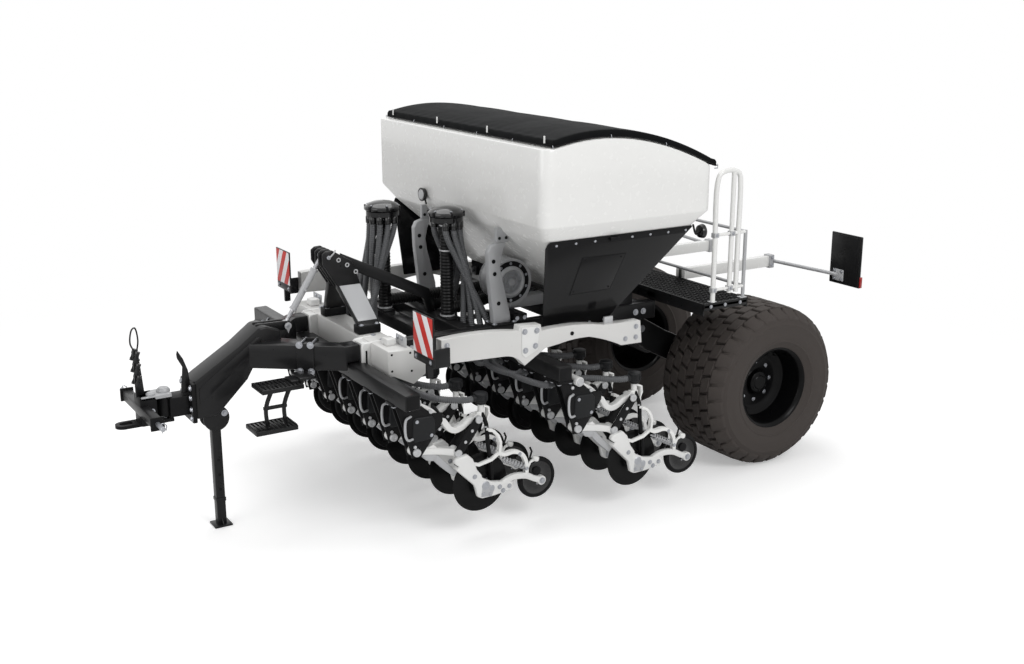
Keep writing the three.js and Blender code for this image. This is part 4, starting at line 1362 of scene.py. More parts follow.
    def elbow(self) -> Shape:
        """Draw the casting that holds the disc, with its box end, bolts and small brackets.

        Returns:
            The casting.
        """
        near, far = self.elbow_span
        outline = [(-0.262, 0.655), (-0.245, 0.685), (-0.15, 0.705), (-0.105, 0.66), (-0.07, 0.57),
                   (-0.02, 0.49), (0.06, 0.448), (0.18, 0.425), (0.238, 0.412), (0.245, 0.37),
                   (0.225, 0.348), (0.08, 0.332), (-0.03, 0.33), (-0.065, 0.35), (-0.085, 0.43),
                   (-0.14, 0.54), (-0.2, 0.60)]
        shape = Shape().plate(WHITE_CASTING, outline, (near, far), 0.012, segments=3)
        bent = [(-0.245, 0.60), (-0.165, 0.695), (-0.03, 0.515), (-0.065, 0.42), (-0.10, 0.455)]
        shape.plate(WHITE_CASTING, bent, (0.014, far + 0.001), 0.008)
        shape.plate(BLACK_CASTING_AND_HOLE_SHADE, [(-0.235, 0.625), (-0.185, 0.685), (-0.176, 0.678), (-0.226, 0.618)],
                    (0.024, far - 0.01), 0.002)
        shape.plate(GREY_ENAMEL_AND_PAINTED_REFLECTION, [(-0.04, 0.345), (0.05, 0.338), (0.075, 0.39), (0.04, 0.43), (-0.03, 0.42)],
                    (far - 0.004, far + 0.003), 0.002)
        for y, z, r in ((0.0, 0.43, 0.034), (0.052, 0.40, 0.024)):
            shape.rod(ZINC, (0.078, y, z), (0.0945, y, z), r, 24, 0.004)
        shape.bolts([(far, y, z) for y, z in ((-0.095, 0.52), (-0.02, 0.37), (0.035, 0.358), (0.12, 0.395),
                                             (0.15, 0.36), (0.205, 0.385))], LEFT, 0.02)
        for ends in ((0.05, 0.056), (0.082, 0.088)):
            shape.strap(WHITE_COAT, [(0.03, 0.86), (0.075, 0.845), (0.115, 0.80), (0.135, 0.745),
                                     (0.125, 0.66)], 0.022, ends, 0.002)
        shape.strap(WHITE_COAT, [(0.125, 0.66), (0.06, 0.62), (-0.05, 0.60), (-0.13, 0.63)], 0.026,
                    (0.056, 0.082), 0.004)
        return shape

    def press_arm(self) -> Shape:
        """Draw the arm, spring, quadrant and knob of the press wheel.

        Returns:
            The arm with its fittings.
        """
        near, far = self.elbow_span
        shape = Shape()
        fork = smooth_outline([(0.14, 0.405), (0.24, 0.44), (0.36, 0.43), (0.44, 0.39), (0.505, 0.365)],
                              0.03)
        shape.strap(WHITE_CASTING, fork, 0.048, (near + 0.004, far - 0.004), 0.008)
        shape.rod(WHITE_CASTING, (near + 0.001, 0.50, 0.365), (far, 0.50, 0.365), 0.036, 24, 0.004)
        shape.bolts([(far, 0.50, 0.365)], LEFT, 0.026)
        hook = smooth_outline([(0.11, 0.665), (0.17, 0.64), (0.25, 0.645), (0.32, 0.615), (0.36, 0.545),
                               (0.365, 0.45)])
        for ends in ((0.05, 0.057), (0.08, 0.087)):
            shape.strap(WHITE_COAT, hook, 0.03, ends, 0.002)
        shape.bolts([(0.087, 0.30, 0.62), (0.087, 0.362, 0.49)], LEFT, 0.016)
        start, end = Vector((0.068, 0.16, 0.60)), Vector((0.068, 0.36, 0.50))
        axis = (end - start).normalized()
        side, up = Vector(LEFT), Vector(LEFT).cross(axis)
        coil = [start + (end - start) * i / 96
                + (side * math.cos(i * math.tau / 12) + up * math.sin(i * math.tau / 12)) * 0.021
                for i in range(97)]
        shape.tube(GREY_ENAMEL_AND_PAINTED_REFLECTION, coil, 0.0058, 6)
        shape.rod(DRAWN_STEEL, start - axis * 0.03, end + axis * 0.03, 0.006, 10)
        shape.strap(BLACK_CASTING_AND_HOLE_SHADE, [(0.37, 0.50), (0.40, 0.56), (0.418, 0.612), (0.40, 0.65)], 0.016,
                    (0.064, 0.072), 0.003)
        shape.lathe(WHITE_COAT, [(0, 0), (0.022, 0), (0.028, 0.008), (0.028, 0.028), (0.02, 0.038),
                                 (0, 0.04)], (0.068, 0.448, 0.53), (0, 0.25, 1), 18)
        shape.strap(WHITE_COAT, [(0.365, 0.46), (0.40, 0.53), (0.448, 0.545)], 0.02, (0.06, 0.078), 0.003)
        shape.lathe(BLACK_CASTING_AND_HOLE_SHADE, [(0, 0), (0.03, 0), (0.034, 0.006), (0.034, 0.03), (0, 0.034)],
                    (0.06, 0.452, 0.455), LEFT, 20)
        return shape

    def whole(self) -> Shape:
        """Return the whole unit."""
        return Shape().join(self.holder(), self.links(), self.metering_cup(), self.elbow(), self.press_arm())


@dataclass
class Rank:
    """One rank of eight row units on its toolbar, with its discs and press wheels."""

    name: str
    disc_y: float
    left_first: float
    right_first: float
    pitch: float = UNIT_PITCH
    units: int = 4
    toolbar_half: float = 1.46625
    toolbar: tuple = (1.1797, 1.2997)
    extras: Shape = field(default_factory=Shape)

    def build(self) -> None:
        """Build the rank's fixed castings as one piece, and the wheels on their own bodies."""
        y = self.disc_y - 0.67
        shape = Shape().block(BLACK_COAT, (-self.toolbar_half, self.toolbar_half), about(y, 0.06),
                              self.toolbar, 0.012)
        for side in SIDES:
            cap = Shape().block(BLACK_CASTING_AND_HOLE_SHADE, (self.toolbar_half - 0.004, self.toolbar_half + 0.003),
                                about(y, 0.05), (self.toolbar[0] + 0.01, self.toolbar[1] - 0.01), 0.003)
            shape.join(cap.sided(side))
            first = self.left_first if side > 0 else -self.right_first
            unit = RowUnit().whole().moved(x=first, y=self.disc_y).sided(side)
            shape.join(REPEAT.copies(unit, Repeat.ROW, self.units, (side * self.pitch, 0, 0)))
        shape.join(self.extras)
        slot = "white_paint" if self.name == "front" else "black_paint"
        shape.piece(f"{self.name}_row_castings", ROOT, slot, f"{self.name}_row_units")
        for number in range(1, 2 * self.units + 1):
            x = self.left_first + (self.units - number) * self.pitch
            side = 1 if x > 0 else -1
            DiscSet(self.name, number, x, self.disc_y, side).build()
            PressWheel(self.name, number, x, self.disc_y + 0.5, side).build()


@dataclass
class DiscSet:
    """A seeding disc with the narrow depth wheel beside it."""

    rank: str
    number: int
    x: float
    y: float
    side: int
    height: float = 0.43
    radius: float = 0.23
    gauge_radius: float = 0.195
    gauge_width: float = 0.045

    def build(self) -> None:
        """Build the disc on its own body."""
        r, g, w = self.radius, self.gauge_radius, self.gauge_width
        shape = Shape().lathe(DISC_STEEL, [
            (0, -0.003), (r - 0.014, -0.003), (r, -0.0006), (r, 0.0006), (r - 0.014, 0.003), (0.075, 0.003),
            (0.07, 0.008), (0.045, 0.010), (0.04, 0.014), (0.0385, 0.043), (0.036, 0.0445), (0, 0.0445),
        ], (0, 0, 0), sides=64)
        shape.lathe(WHEEL_RUBBER, [
            (0, -0.004 - w * 0.3), (g - 0.045, -0.004 - w * 0.3), (g - 0.04, -0.004), (g - 0.012, -0.0035),
            (g - 0.002, -0.010), (g, -0.020), (g, -0.032), (g - 0.006, -0.043), (g - 0.02, -0.003 - w),
            (g - 0.05, -0.003 - w), (g - 0.056, -0.036), (0.06, -0.034), (0.05, -0.046), (0, -0.046),
        ], (0, 0, 0), sides=48)
        bolt = Shape().bolts([(0.008, 0, 0.056)], LEFT, 0.012, ZINC, washer=False)
        shape.join(REPEAT.copies(bolt, Repeat.RING, 5))
        name = f"{self.rank}_disc_{self.number}"
        shape.sided(self.side).moved(self.x, self.y, self.height).piece(
            f"steel_{name}", name, "disc_steel", name)


@dataclass
class PressWheel:
    """A closing wheel: a rubber ring on a recessed black dish."""

    rank: str
    number: int
    x: float
    y: float
    side: int
    height: float = 0.365
    radius: float = 0.165
    half_width: float = 0.025

    def build(self) -> None:
        """Build the press wheel on its own body."""
        r, h = self.radius, self.half_width
        shape = Shape().lathe(WHEEL_RUBBER, [
            (r - 0.032, 0), (r - 0.032, h - 0.003), (r - 0.026, h), (r - 0.014, h - 0.001),
            (r - 0.004, h - 0.008), (r, 0.008), (r, -0.008), (r - 0.004, 0.008 - h),
            (r - 0.014, 0.001 - h), (r - 0.026, -h), (r - 0.032, 0.003 - h), (r - 0.032, 0),
        ], (0, 0, 0), sides=44)
        shape.lathe(GLOSS_ABS, [
            (0, -0.016), (0.05, -0.016), (0.07, -0.004), (r - 0.05, -0.006), (r - 0.036, 0.012 - h),
            (r - 0.031, 0.01 - h), (r - 0.031, h - 0.009), (r - 0.037, h - 0.011), (r - 0.05, 0.006),
            (0.075, 0.004), (0.056, 0.014), (0.042, 0.017), (0.0395, 0.0445), (0, 0.0445),
        ], (0, 0, 0), sides=44)
        bolt = Shape().bolts([(0.0145, 0, 0.05)], LEFT, 0.012, ZINC, washer=False)
        shape.join(REPEAT.copies(bolt, Repeat.RING, 4))
        name = f"{self.rank}_press_wheel_{self.number}"
        shape.sided(self.side).moved(self.x, self.y, self.height).piece(
            f"ringed_{name}", name, "black_rubber", name)


@dataclass
class FrontBeam:
    """The white front member of the frame, with pointed end plates and the drawbar's brackets."""

    half: float = 0.89
    front: float = -3.44
    depth: float = 0.2
    top: float = FRAME_TOP
    bracket_x: float = 0.5
    bracket: float = 0.075

    def shape(self) -> Shape:
        """Draw the beam, its end plates, its top fittings and its two brackets.

        Returns:
            The beam, as part of the front rank.
        """
        f, z = self.front, self.top
        shape = Shape().block(FRAME_WHITE, (-self.half, self.half), (f, f + self.depth), (z - 0.2, z), 0.014)
        end = [(f - 0.01, z), (f + 0.225, z - 0.008), (f + 0.34, z - 0.18), (f + 0.195, z - 0.275),
               (f - 0.01, z - 0.17)]
        own = Shape().plate(FRAME_WHITE, end, (self.half, self.half + 0.012), 0.004)
        # Painted shade: flat black discs near the end plate's corners stand in for its holes.
        for y, h in ((f + 0.02, z - 0.025), (f + 0.02, z - 0.15), (f + 0.17, z - 0.03),
                     (f + 0.18, z - 0.17)):
            own.stub(BLACK_CASTING_AND_HOLE_SHADE, (self.half + 0.0118, y, h), 0.009, 0.001, sides=14)
        own.block(WHITE_CASTING, (0.66, 0.76), (f + 0.05, f + 0.13), (z - 0.001, z + 0.055), 0.012)
        own.block(GALVANISED, (0.70, 0.86), (f + 0.155, f + 0.165), (z - 0.001, z + 0.075), 0.002)
        own.bolts([(x, f + 0.155, z + 0.055) for x in (0.73, 0.80)], AHEAD, 0.02)
        self.brackets(own)
        shape.join(own.pair())
        return shape

    def brackets(self, shape: Shape) -> None:
        """Add one cast bracket: a rounded face with a slot of painted shade, cheeks and a top flange.

        Args:
            shape: The shape that takes it.
        """
        f, z, x, reach = self.front, self.top, self.bracket_x, self.bracket
        cheek = [(f - reach, z - 0.22), (f - reach, z - 0.04)]
        cheek += arc((f - reach + 0.035, z - 0.035), 0.035, 180, 90, 5)
        cheek += [(f + 0.06, z + 0.004), (f + 0.13, z + 0.003), (f + 0.13, z - 0.02), (f + 0.02, z - 0.05),
                  (f + 0.015, z - 0.225), (f - 0.01, z - 0.25), (f - reach + 0.01, z - 0.245)]
        for low, high in ((x - 0.09, x - 0.062), (x + 0.062, x + 0.09)):
            shape.plate(WHITE_CASTING, cheek, (low, high), 0.01, segments=3)
        shape.block(WHITE_CASTING, about(x, 0.075), (f - reach + 0.012, f + 0.01), (z - 0.235, z - 0.008),
                    0.014)
        # Painted shade: a thin black sheet on the outer cheek stands in for the slot.
        shape.plate(BLACK_CASTING_AND_HOLE_SHADE, [(f - 0.045, z - 0.17), (f - 0.03, z - 0.17), (f - 0.03, z - 0.06),
                                    (f - 0.045, z - 0.06)], (x + 0.089, x + 0.0915), 0.001)
        shape.bolts([(x + 0.09, f - 0.01, z - 0.20), (x + 0.09, f - 0.055, z - 0.215)], LEFT, 0.02)
        shape.bolts([(x + dx, f + 0.10, z + 0.004) for dx in (-0.076, 0.076)], UP, 0.02)


# ------------------------------------------------------------------------------ hopper and cover
@dataclass
class Arch:
    """The curve of the hopper's roof, from its front edge to the lower rear edge."""

    front: tuple = (-2.288, 2.95)
    control: tuple = (-1.62, 3.12)
    rear: tuple = (-0.81, 2.713)

    def height(self, y: float) -> float:
        """Work out the roof's height.

        Args:
            y: The station along Y.

        Returns:
            The height over that station.
        """
        y = min(max(y, self.front[0]), self.rear[0])
        a = self.front[0] - 2 * self.control[0] + self.rear[0]
        b = 2 * (self.control[0] - self.front[0])
        c = self.front[0] - y
        t = (-b + math.sqrt(b * b - 4 * a * c)) / (2 * a)
        return (1 - t) ** 2 * self.front[1] + 2 * t * (1 - t) * self.control[1] + t * t * self.rear[1]


@dataclass
class Hopper:
    """The white hopper: straight walls over a fold and a funnel, with its metering box."""

    half: float = 1.354
    front: float = -2.406
    rear: float = -0.82
    fold: float = 2.2
    wall_foot: float = 2.324
    shoulder: float = 0.055
    inset: float = 0.054
    wall: float = 0.006
    outlet: tuple = (0.9, OUTLET_FRONT, -1.42, 1.62)
    arch: Arch = field(default_factory=Arch)

    def ring(self, half: float, front: float, rear: float, corner: float, height: float,
             drop: float | None = None) -> list[tuple]:
        """Return a rectangle with round corners.

        Args:
            half: Half its width.
            front: Its front edge.
            rear: Its rear edge.
            corner: The corners' radius.
            height: Its height, where it is level.
            drop: How far below the roof's arch it runs, where it follows that.

        Returns:
            The same number of points for every ring.
        """
        flat = []
        turns = ((half - corner, front + corner, -90), (half - corner, rear - corner, 0),
                 (corner - half, rear - corner, 90), (corner - half, front + corner, 180))
        for number, (x, y, start) in enumerate(turns):
            flat += arc((x, y), corner, start, start + 90, 6)
            nx, ny, _ = turns[(number + 1) % 4]
            steps = 16 if number % 2 == 0 else 4
            first = flat[-1]
            last = arc((nx, ny), corner, start + 90, start + 91, 1)[0]
            flat += [(first[0] + (last[0] - first[0]) * i / steps,
                      first[1] + (last[1] - first[1]) * i / steps) for i in range(1, steps)]
        return [(x, y, height if drop is None else self.arch.height(y) - drop) for x, y in flat]

    def shell(self, inward: float) -> list[list[tuple]]:
        """Draw the shell's rings.

        Args:
            inward: How far they are set inwards.

        Returns:
            The rings, from the outlet up.
        """
        h, f, r, i = self.half - inward, self.front + inward, self.rear - inward, inward
        spout, spout_front, spout_rear, spout_foot = self.outlet
        return [
            self.ring(spout - i, spout_front + i, spout_rear - i, 0.02, spout_foot + i),
            self.ring(h - 0.108, f + 0.09, r - 0.094, 0.06, self.fold - 0.006),
            self.ring(h - 0.102, f + 0.084, r - 0.088, 0.062, self.fold + 0.006),
            self.ring(h - 0.004, f + 0.004, r - 0.004, 0.09, self.wall_foot - 0.006),
            self.ring(h, f, r, 0.092, self.wall_foot + 0.006),
            self.ring(h, f, r, 0.092, 0, self.shoulder + 0.016 + i),
            self.ring(h - 0.004, f + 0.004, r - 0.003, 0.09, 0, self.shoulder + 0.004 + i),
            self.ring(h - 0.014, f + 0.014, r - 0.006, 0.085, 0, self.shoulder + i),
            self.ring(h - self.inset, f + 0.11, r - 0.008, 0.06, 0, self.shoulder + i),
            self.ring(h - self.inset, f + 0.112, r - 0.008, 0.06, 0, 0.002 + i),
        ]

    def box(self) -> Shape:
        """Draw the hollow shell with its metering box.

        Returns:
            The shell and the box.
        """
        rings = self.shell(0.0)
        mouth = [(x * 0.985, y * 0.992 - 0.012, z) for x, y, z in rings[-1]]
        inner = self.shell(self.wall)
        rings = rings + [mouth] + [inner[k] for k in (8, 5, 4, 3, 2, 1, 0)]
        points, loops = [], []
        for ring in rings:
            loops.append(list(range(len(points), len(points) + len(ring))))
            points += ring
        shape = Shape().skin(WHITE_COAT, points, loops)
        half, front, rear, foot = self.outlet
        shape.block(BLACK_COAT, (-half, half), (front, rear), (FRAME_TOP + GAP, foot + 0.004), 0.008)
        gate = Shape().block(MOULDING, (0.05, 0.14), (front - 0.03, front + 0.01), (1.50, 1.58), 0.006)
        gate.rod(HOSE, (0.095, front - 0.055, 1.545), (0.095, front - 0.02, 1.545), 0.022, 14)
        return shape.join(REPEAT.copies(gate.moved(x=-half), Repeat.ROW, 9, (0.2, 0, 0)))

    def fittings(self) -> Shape:
        """Draw the lugs on the posts and the two work lamps.

        Returns:
            The lugs and lamps.
        """
        shape = Shape()
        own = Shape().block(GREY_ENAMEL_AND_PAINTED_REFLECTION, (0.60, 0.64), (-2.37, -2.26), (2.1003, 2.22), 0.006)
        for y in (-2.345, -2.285):
            own.stub(BLACK_CASTING_AND_HOLE_SHADE, (0.5985, y, 2.135), 0.013, 0.043, sides=16)
        own.block(WHITE_COAT, (0.585, 0.655), (-1.25, -1.05), (1.7903, 2.03), 0.006)
        shape.join(own.pair())
        shape.join(self.lamp((1.22, -0.815, 2.134), (1.24, -0.92, 2.20)),
                   self.lamp((-0.47, -2.43, 2.334), (-0.47, -2.396, 2.25)))
        return shape

    def lamp(self, place: Point, root: Point) -> Shape:
        """Make a small round work lamp on a bent rod.

        Args:
            place: The lamp's middle.
            root: The rod's foot.

        Returns:
            The lamp.
        """
        x, y, z = place
        facing = 1 if y > -1.5 else -1
        shape = Shape().tube(BLACK_COAT, smooth_path([root, (x, (y + root[1]) / 2, z - 0.02), place]),
                             0.008, 8)
        profile = [(0, -0.028), (0.035, -0.028), (0.05, -0.02), (0.056, 0.0), (0.058, 0.012),
                   (0.052, 0.016), (0.048, 0.012), (0, 0.014)]
        shape.lathe(GLOSS_ABS, profile, place, (0, facing, 0), 24)
        shape.lathe(GALVANISED, [(0, 0.0125), (0.044, 0.0125), (0.04, 0.018), (0, 0.02)], place,
                    (0, facing, 0), 24)
        return shape

    def build(self) -> None:
        """Build the hopper as one piece."""
        Shape().join(self.box(), self.fittings()).piece("sheet_steel_hopper", ROOT, "white_paint", "hopper")


@dataclass
class TarpCover:
    """The tarpaulin over the hopper, held down by a shock cord through hooks."""

    half: float = 1.3175
    front: float = -2.304
    rear: float = -0.796
    gap: float = 0.0015
    cloth: float = 0.004
    skirt: float = 0.05
    fold: float = 0.0022
    bow: float = 0.004
    pucker: float = 0.0016
    columns: int = 96
    rows: int = 56
    arch: Arch = field(default_factory=Arch)

    def roof(self, x: float, y: float) -> float:
        """Work out the cloth's height: the arch, lifted a little where it is slack.

        Args:
            x: The place along X.
            y: The station along Y.

        Returns:
            The height.
        """
        margins = (y - self.front, self.rear - y)
        edge = min((self.half - abs(x)) / 0.16, min(margins) / 0.14, 1.0)
        edge = max(edge, 0.0) ** 0.8
        folds = self.fold * math.sin(9.0 * x + 3.1 * math.sin(2.3 * y)) * math.sin(7.0 * y + 0.6 * x)
        bows = self.bow * abs(math.sin(x / self.half * math.pi * 2.5))
        pucker = sum(self.pucker * math.sin(x * 46.0) * math.exp(-max(m, 0) / 0.09) for m in margins)
        return self.arch.height(y) + self.gap + edge * (0.003 + folds + bows * 0.6) + pucker

    def border(self) -> list[tuple[int, int]]:
        """Follow the grid's border round.

        Returns:
            (column, row) numbers, in order.
        """
        m, n = self.columns, self.rows
        return ([(i, 0) for i in range(m)] + [(m, j) for j in range(n)]
                + [(i, n) for i in range(m, 0, -1)] + [(0, j) for j in range(n, 0, -1)])

    def layer(self, lift: float) -> tuple[np.ndarray, list[np.ndarray]]:
        """Return the roof's grid and the rings down the skirt, offset outwards.

        Args:
            lift: The offset from the inner face.

        Returns:
            The grid of points and three rings of points.
        """
        grid = np.array([[(x, y, self.roof(x, y) + lift)
                          for y in np.linspace(self.front, self.rear, self.rows + 1)]
                         for x in np.linspace(-self.half, self.half, self.columns + 1)])
        centre = np.array([0.0, (self.front + self.rear) / 2, 0.0])
        size = np.array([self.half, (self.rear - self.front) / 2])
        edge = np.array([grid[i, j] for i, j in self.border()])
        away = np.where(np.abs((edge - centre)[:, :2]) > size - 1e-6, np.sign((edge - centre)[:, :2]), 0)
        run = np.arange(len(edge))
        scallop = 0.006 * np.abs(np.sin(run / len(edge) * math.pi * 34))
        rings = []
        for out, down in ((0.005, 0.004), (0.008 + lift, 0.016), (0.010 + lift, self.skirt)):
            ring = edge.copy()
            ring[:, :2] += away * out
            ring[:, 2] -= down + lift * (down > 0.01)
            if down == self.skirt:
                ring[:, 2] += scallop
                ring[:, :2] += away * 0.003 * np.sin(run * 0.9)[:, None]
            rings.append(ring)
        return grid, rings

    def build(self) -> bpy.types.Object:
        """Returns:
            The new piece.
        """
        m, n = self.columns, self.rows
        points, faces = [], []
        for number, lift in enumerate((self.cloth, 0.0)):
            grid, rings = self.layer(lift)
            base = len(points)
            points += [tuple(p) for p in grid.reshape(-1, 3)]
            number_of = base + np.arange((m + 1) * (n + 1)).reshape(m + 1, n + 1)
            faces += [(number_of[i, j], number_of[i + 1, j], number_of[i + 1, j + 1], number_of[i, j + 1])
                      for i in range(m) for j in range(n)]
            loops = [[number_of[i, j] for i, j in self.border()]]
            for ring in rings:
                loops.append(list(range(len(points), len(points) + len(ring))))
                points += [tuple(p) for p in ring]
            for a, b in zip(loops, loops[1:]):
                faces += [(a[k], a[(k + 1) % len(a)], b[(k + 1) % len(a)], b[k]) for k in range(len(a))]
            if number == 0:
                hem = loops[-1]
        last = loops[-1]
        faces += [(hem[k], hem[(k + 1) % len(hem)], last[(k + 1) % len(hem)], last[k])
                  for k in range(len(hem))]
        cloth = Shape().add(CLOTH, *bevelled(np.array(points), faces, 0))
        piece = cloth.piece("tarpaulin_sheet", ROOT, "tarpaulin", "tarp_cover")
        run = [self.arch.height(y) for y in np.linspace(self.front, self.rear, 60)]
        return piece

    def edge_line(self, drop: float, out: float) -> list[Vector]:
        """Draw a line round the skirt.

        Args:
            drop: How far it runs below the roof's edge.
            out: How far it runs outside the skirt.

        Returns:
            The line's points.
        """
        corners = [(-self.half - out, self.front - out), (self.half + out, self.front - out),
                   (self.half + out, self.rear + out), (-self.half - out, self.rear + out)]
        line = []
        for (x0, y0), (x1, y1) in zip(corners, corners[1:] + corners[:1]):
            count = 30 if y0 == y1 else 18
            for i in range(count):
                t = i / count
                x, y = x0 + (x1 - x0) * t, y0 + (y1 - y0) * t
                line.append(Vector((x, y, self.arch.height(y) - drop)))
        return line

    def lacing(self) -> None:
        """Build the shock cord under the skirt, its loops and the hooks on the hopper."""
        line = self.edge_line(0.043, 0.016)
        shape = Shape().tube(WHEEL_RUBBER, line + line[:1], 0.0042, 8)
        for i in range(0, len(line), 6):
            place, ahead = line[i], line[(i + 1) % len(line)]
            along = (ahead - place).normalized()
            out = along.cross(Vector(UP)).normalized()
            hook = [place + out * 0.004 + Vector((0, 0, 0.012)), place + out * 0.009,
                    place + out * 0.006 - Vector((0, 0, 0.014)), place + out * 0.010 - Vector((0, 0, 0.022))]
            shape.tube(ZINC, smooth_path(hook, 0.008), 0.0028, 6)
            root = place - out * 0.004 - Vector((0, 0, 0.022))
            shape.rod(ZINC, root - out * 0.02, root + out * 0.012, 0.005, 8)
        edge, face = self.arch.height(self.front), self.front - 0.026
        for x in np.linspace(-self.half + 0.12, self.half - 0.08, 4):
            shape.block(WHITE_CASTING, about(x, 0.007), (face, face + 0.008), (edge - 0.022, edge + 0.03),
                        0.002)
        shape.piece("cover_cord_and_hooks", ROOT, "zinc_steel")


@dataclass
class SidePanel:
    """The dark polyethylene panel below the hopper's fold, bolted along both long edges."""

    side: int
    top: tuple = (-2.32, -0.925, 2.2, 1.2503)
    foot: tuple = (-2.28, -1.712, 1.494, 1.15)
    thickness: float = 0.006
    lean: float = 0.14        # how far the face's normal dips, for one along X

    def place(self, u: float, v: float, out: float = 0.0) -> tuple:
        """Return a point on the panel's outer face.

        Args:
            u: Share of the way from front to rear.
            v: Share of the way from foot to top.
            out: Distance off the face.

        Returns:
            The point, for the left side.
        """
        front = self.foot[0] + (self.top[0] - self.foot[0]) * v
        rear = self.foot[1] + (self.top[1] - self.foot[1]) * v
        x = self.foot[3] + (self.top[3] - self.foot[3]) * v + self.thickness
        z = self.foot[2] + (self.top[2] - self.foot[2]) * v
        return (x + out, front + (rear - front) * u, z - out * self.lean)

    def slab(self, finish: Finish, corners: Sequence[Point], low: float, high: float, edge: float) -> Shape:
        """Make a plate on the panel's face.

        Args:
            finish: Its finish.
            corners: (u, v) places of its corners.
            low: Its inner side's distance off the face.
            high: Its outer side's distance off the face.
            edge: The rounding of its edges.

        Returns:
            The plate.
        """
        points = [self.place(u, v, out) for out in (low, high) for u, v in corners]
        return Shape().add(finish, *bevelled(np.array(points), prism_faces(len(corners)), edge, 2))

    def build(self) -> None:
        """Build the panel with its top strip, flush access door and bolts."""
        shape = self.slab(PANEL_SHEET, [(0, 0.006), (0.02, 0), (0.98, 0), (1, 0.012), (1, 0.985), (0.985, 1),
                                        (0.03, 1), (0.012, 0.975), (0, 0.93)], -self.thickness, 0.0, 0.002)
        shape.join(self.slab(BLACK_CASTING_AND_HOLE_SHADE, [(0.02, 0.925), (0.99, 0.925), (0.99, 0.992), (0.035, 0.992)],
                             -0.001, 0.003, 0.001))
        door = np.array([(0.267, 0.385), (0.678, 0.39), (0.61, 0.77), (0.28, 0.78)])
        hub = door.mean(axis=0)
        shape.join(self.slab(BLACK_CASTING_AND_HOLE_SHADE, hub + (door - hub) * 1.045, -0.001, 0.0012, 0.0004))
        shape.join(self.slab(PANEL_SHEET, door, -0.001, 0.0035, 0.0015))
        for u, v in hub + (door - hub) * 0.86:
            shape.bolts([self.place(u, v, 0.0035)], (1, 0, self.lean), 0.008, BLACK_CASTING_AND_HOLE_SHADE)
        for u in np.linspace(0.07, 0.965, 8):
            shape.bolts([self.place(u, 0.958, 0.002)], (1, 0, self.lean), 0.012)
        for u in np.linspace(0.05, 0.95, 5):
            shape.bolts([self.place(u, 0.035, 0.0)], (1, 0, self.lean), 0.012)
        shape.block(BLACK_CASTING_AND_HOLE_SHADE, (1.262, 1.285), (-1.75, -1.66), (2.16, 2.185), 0.004)
        name = f"side_panel_{SIDE_NAMES[self.side]}"
        shape.sided(self.side).piece(f"ribbed_{name}", ROOT, "black_plastic", name)


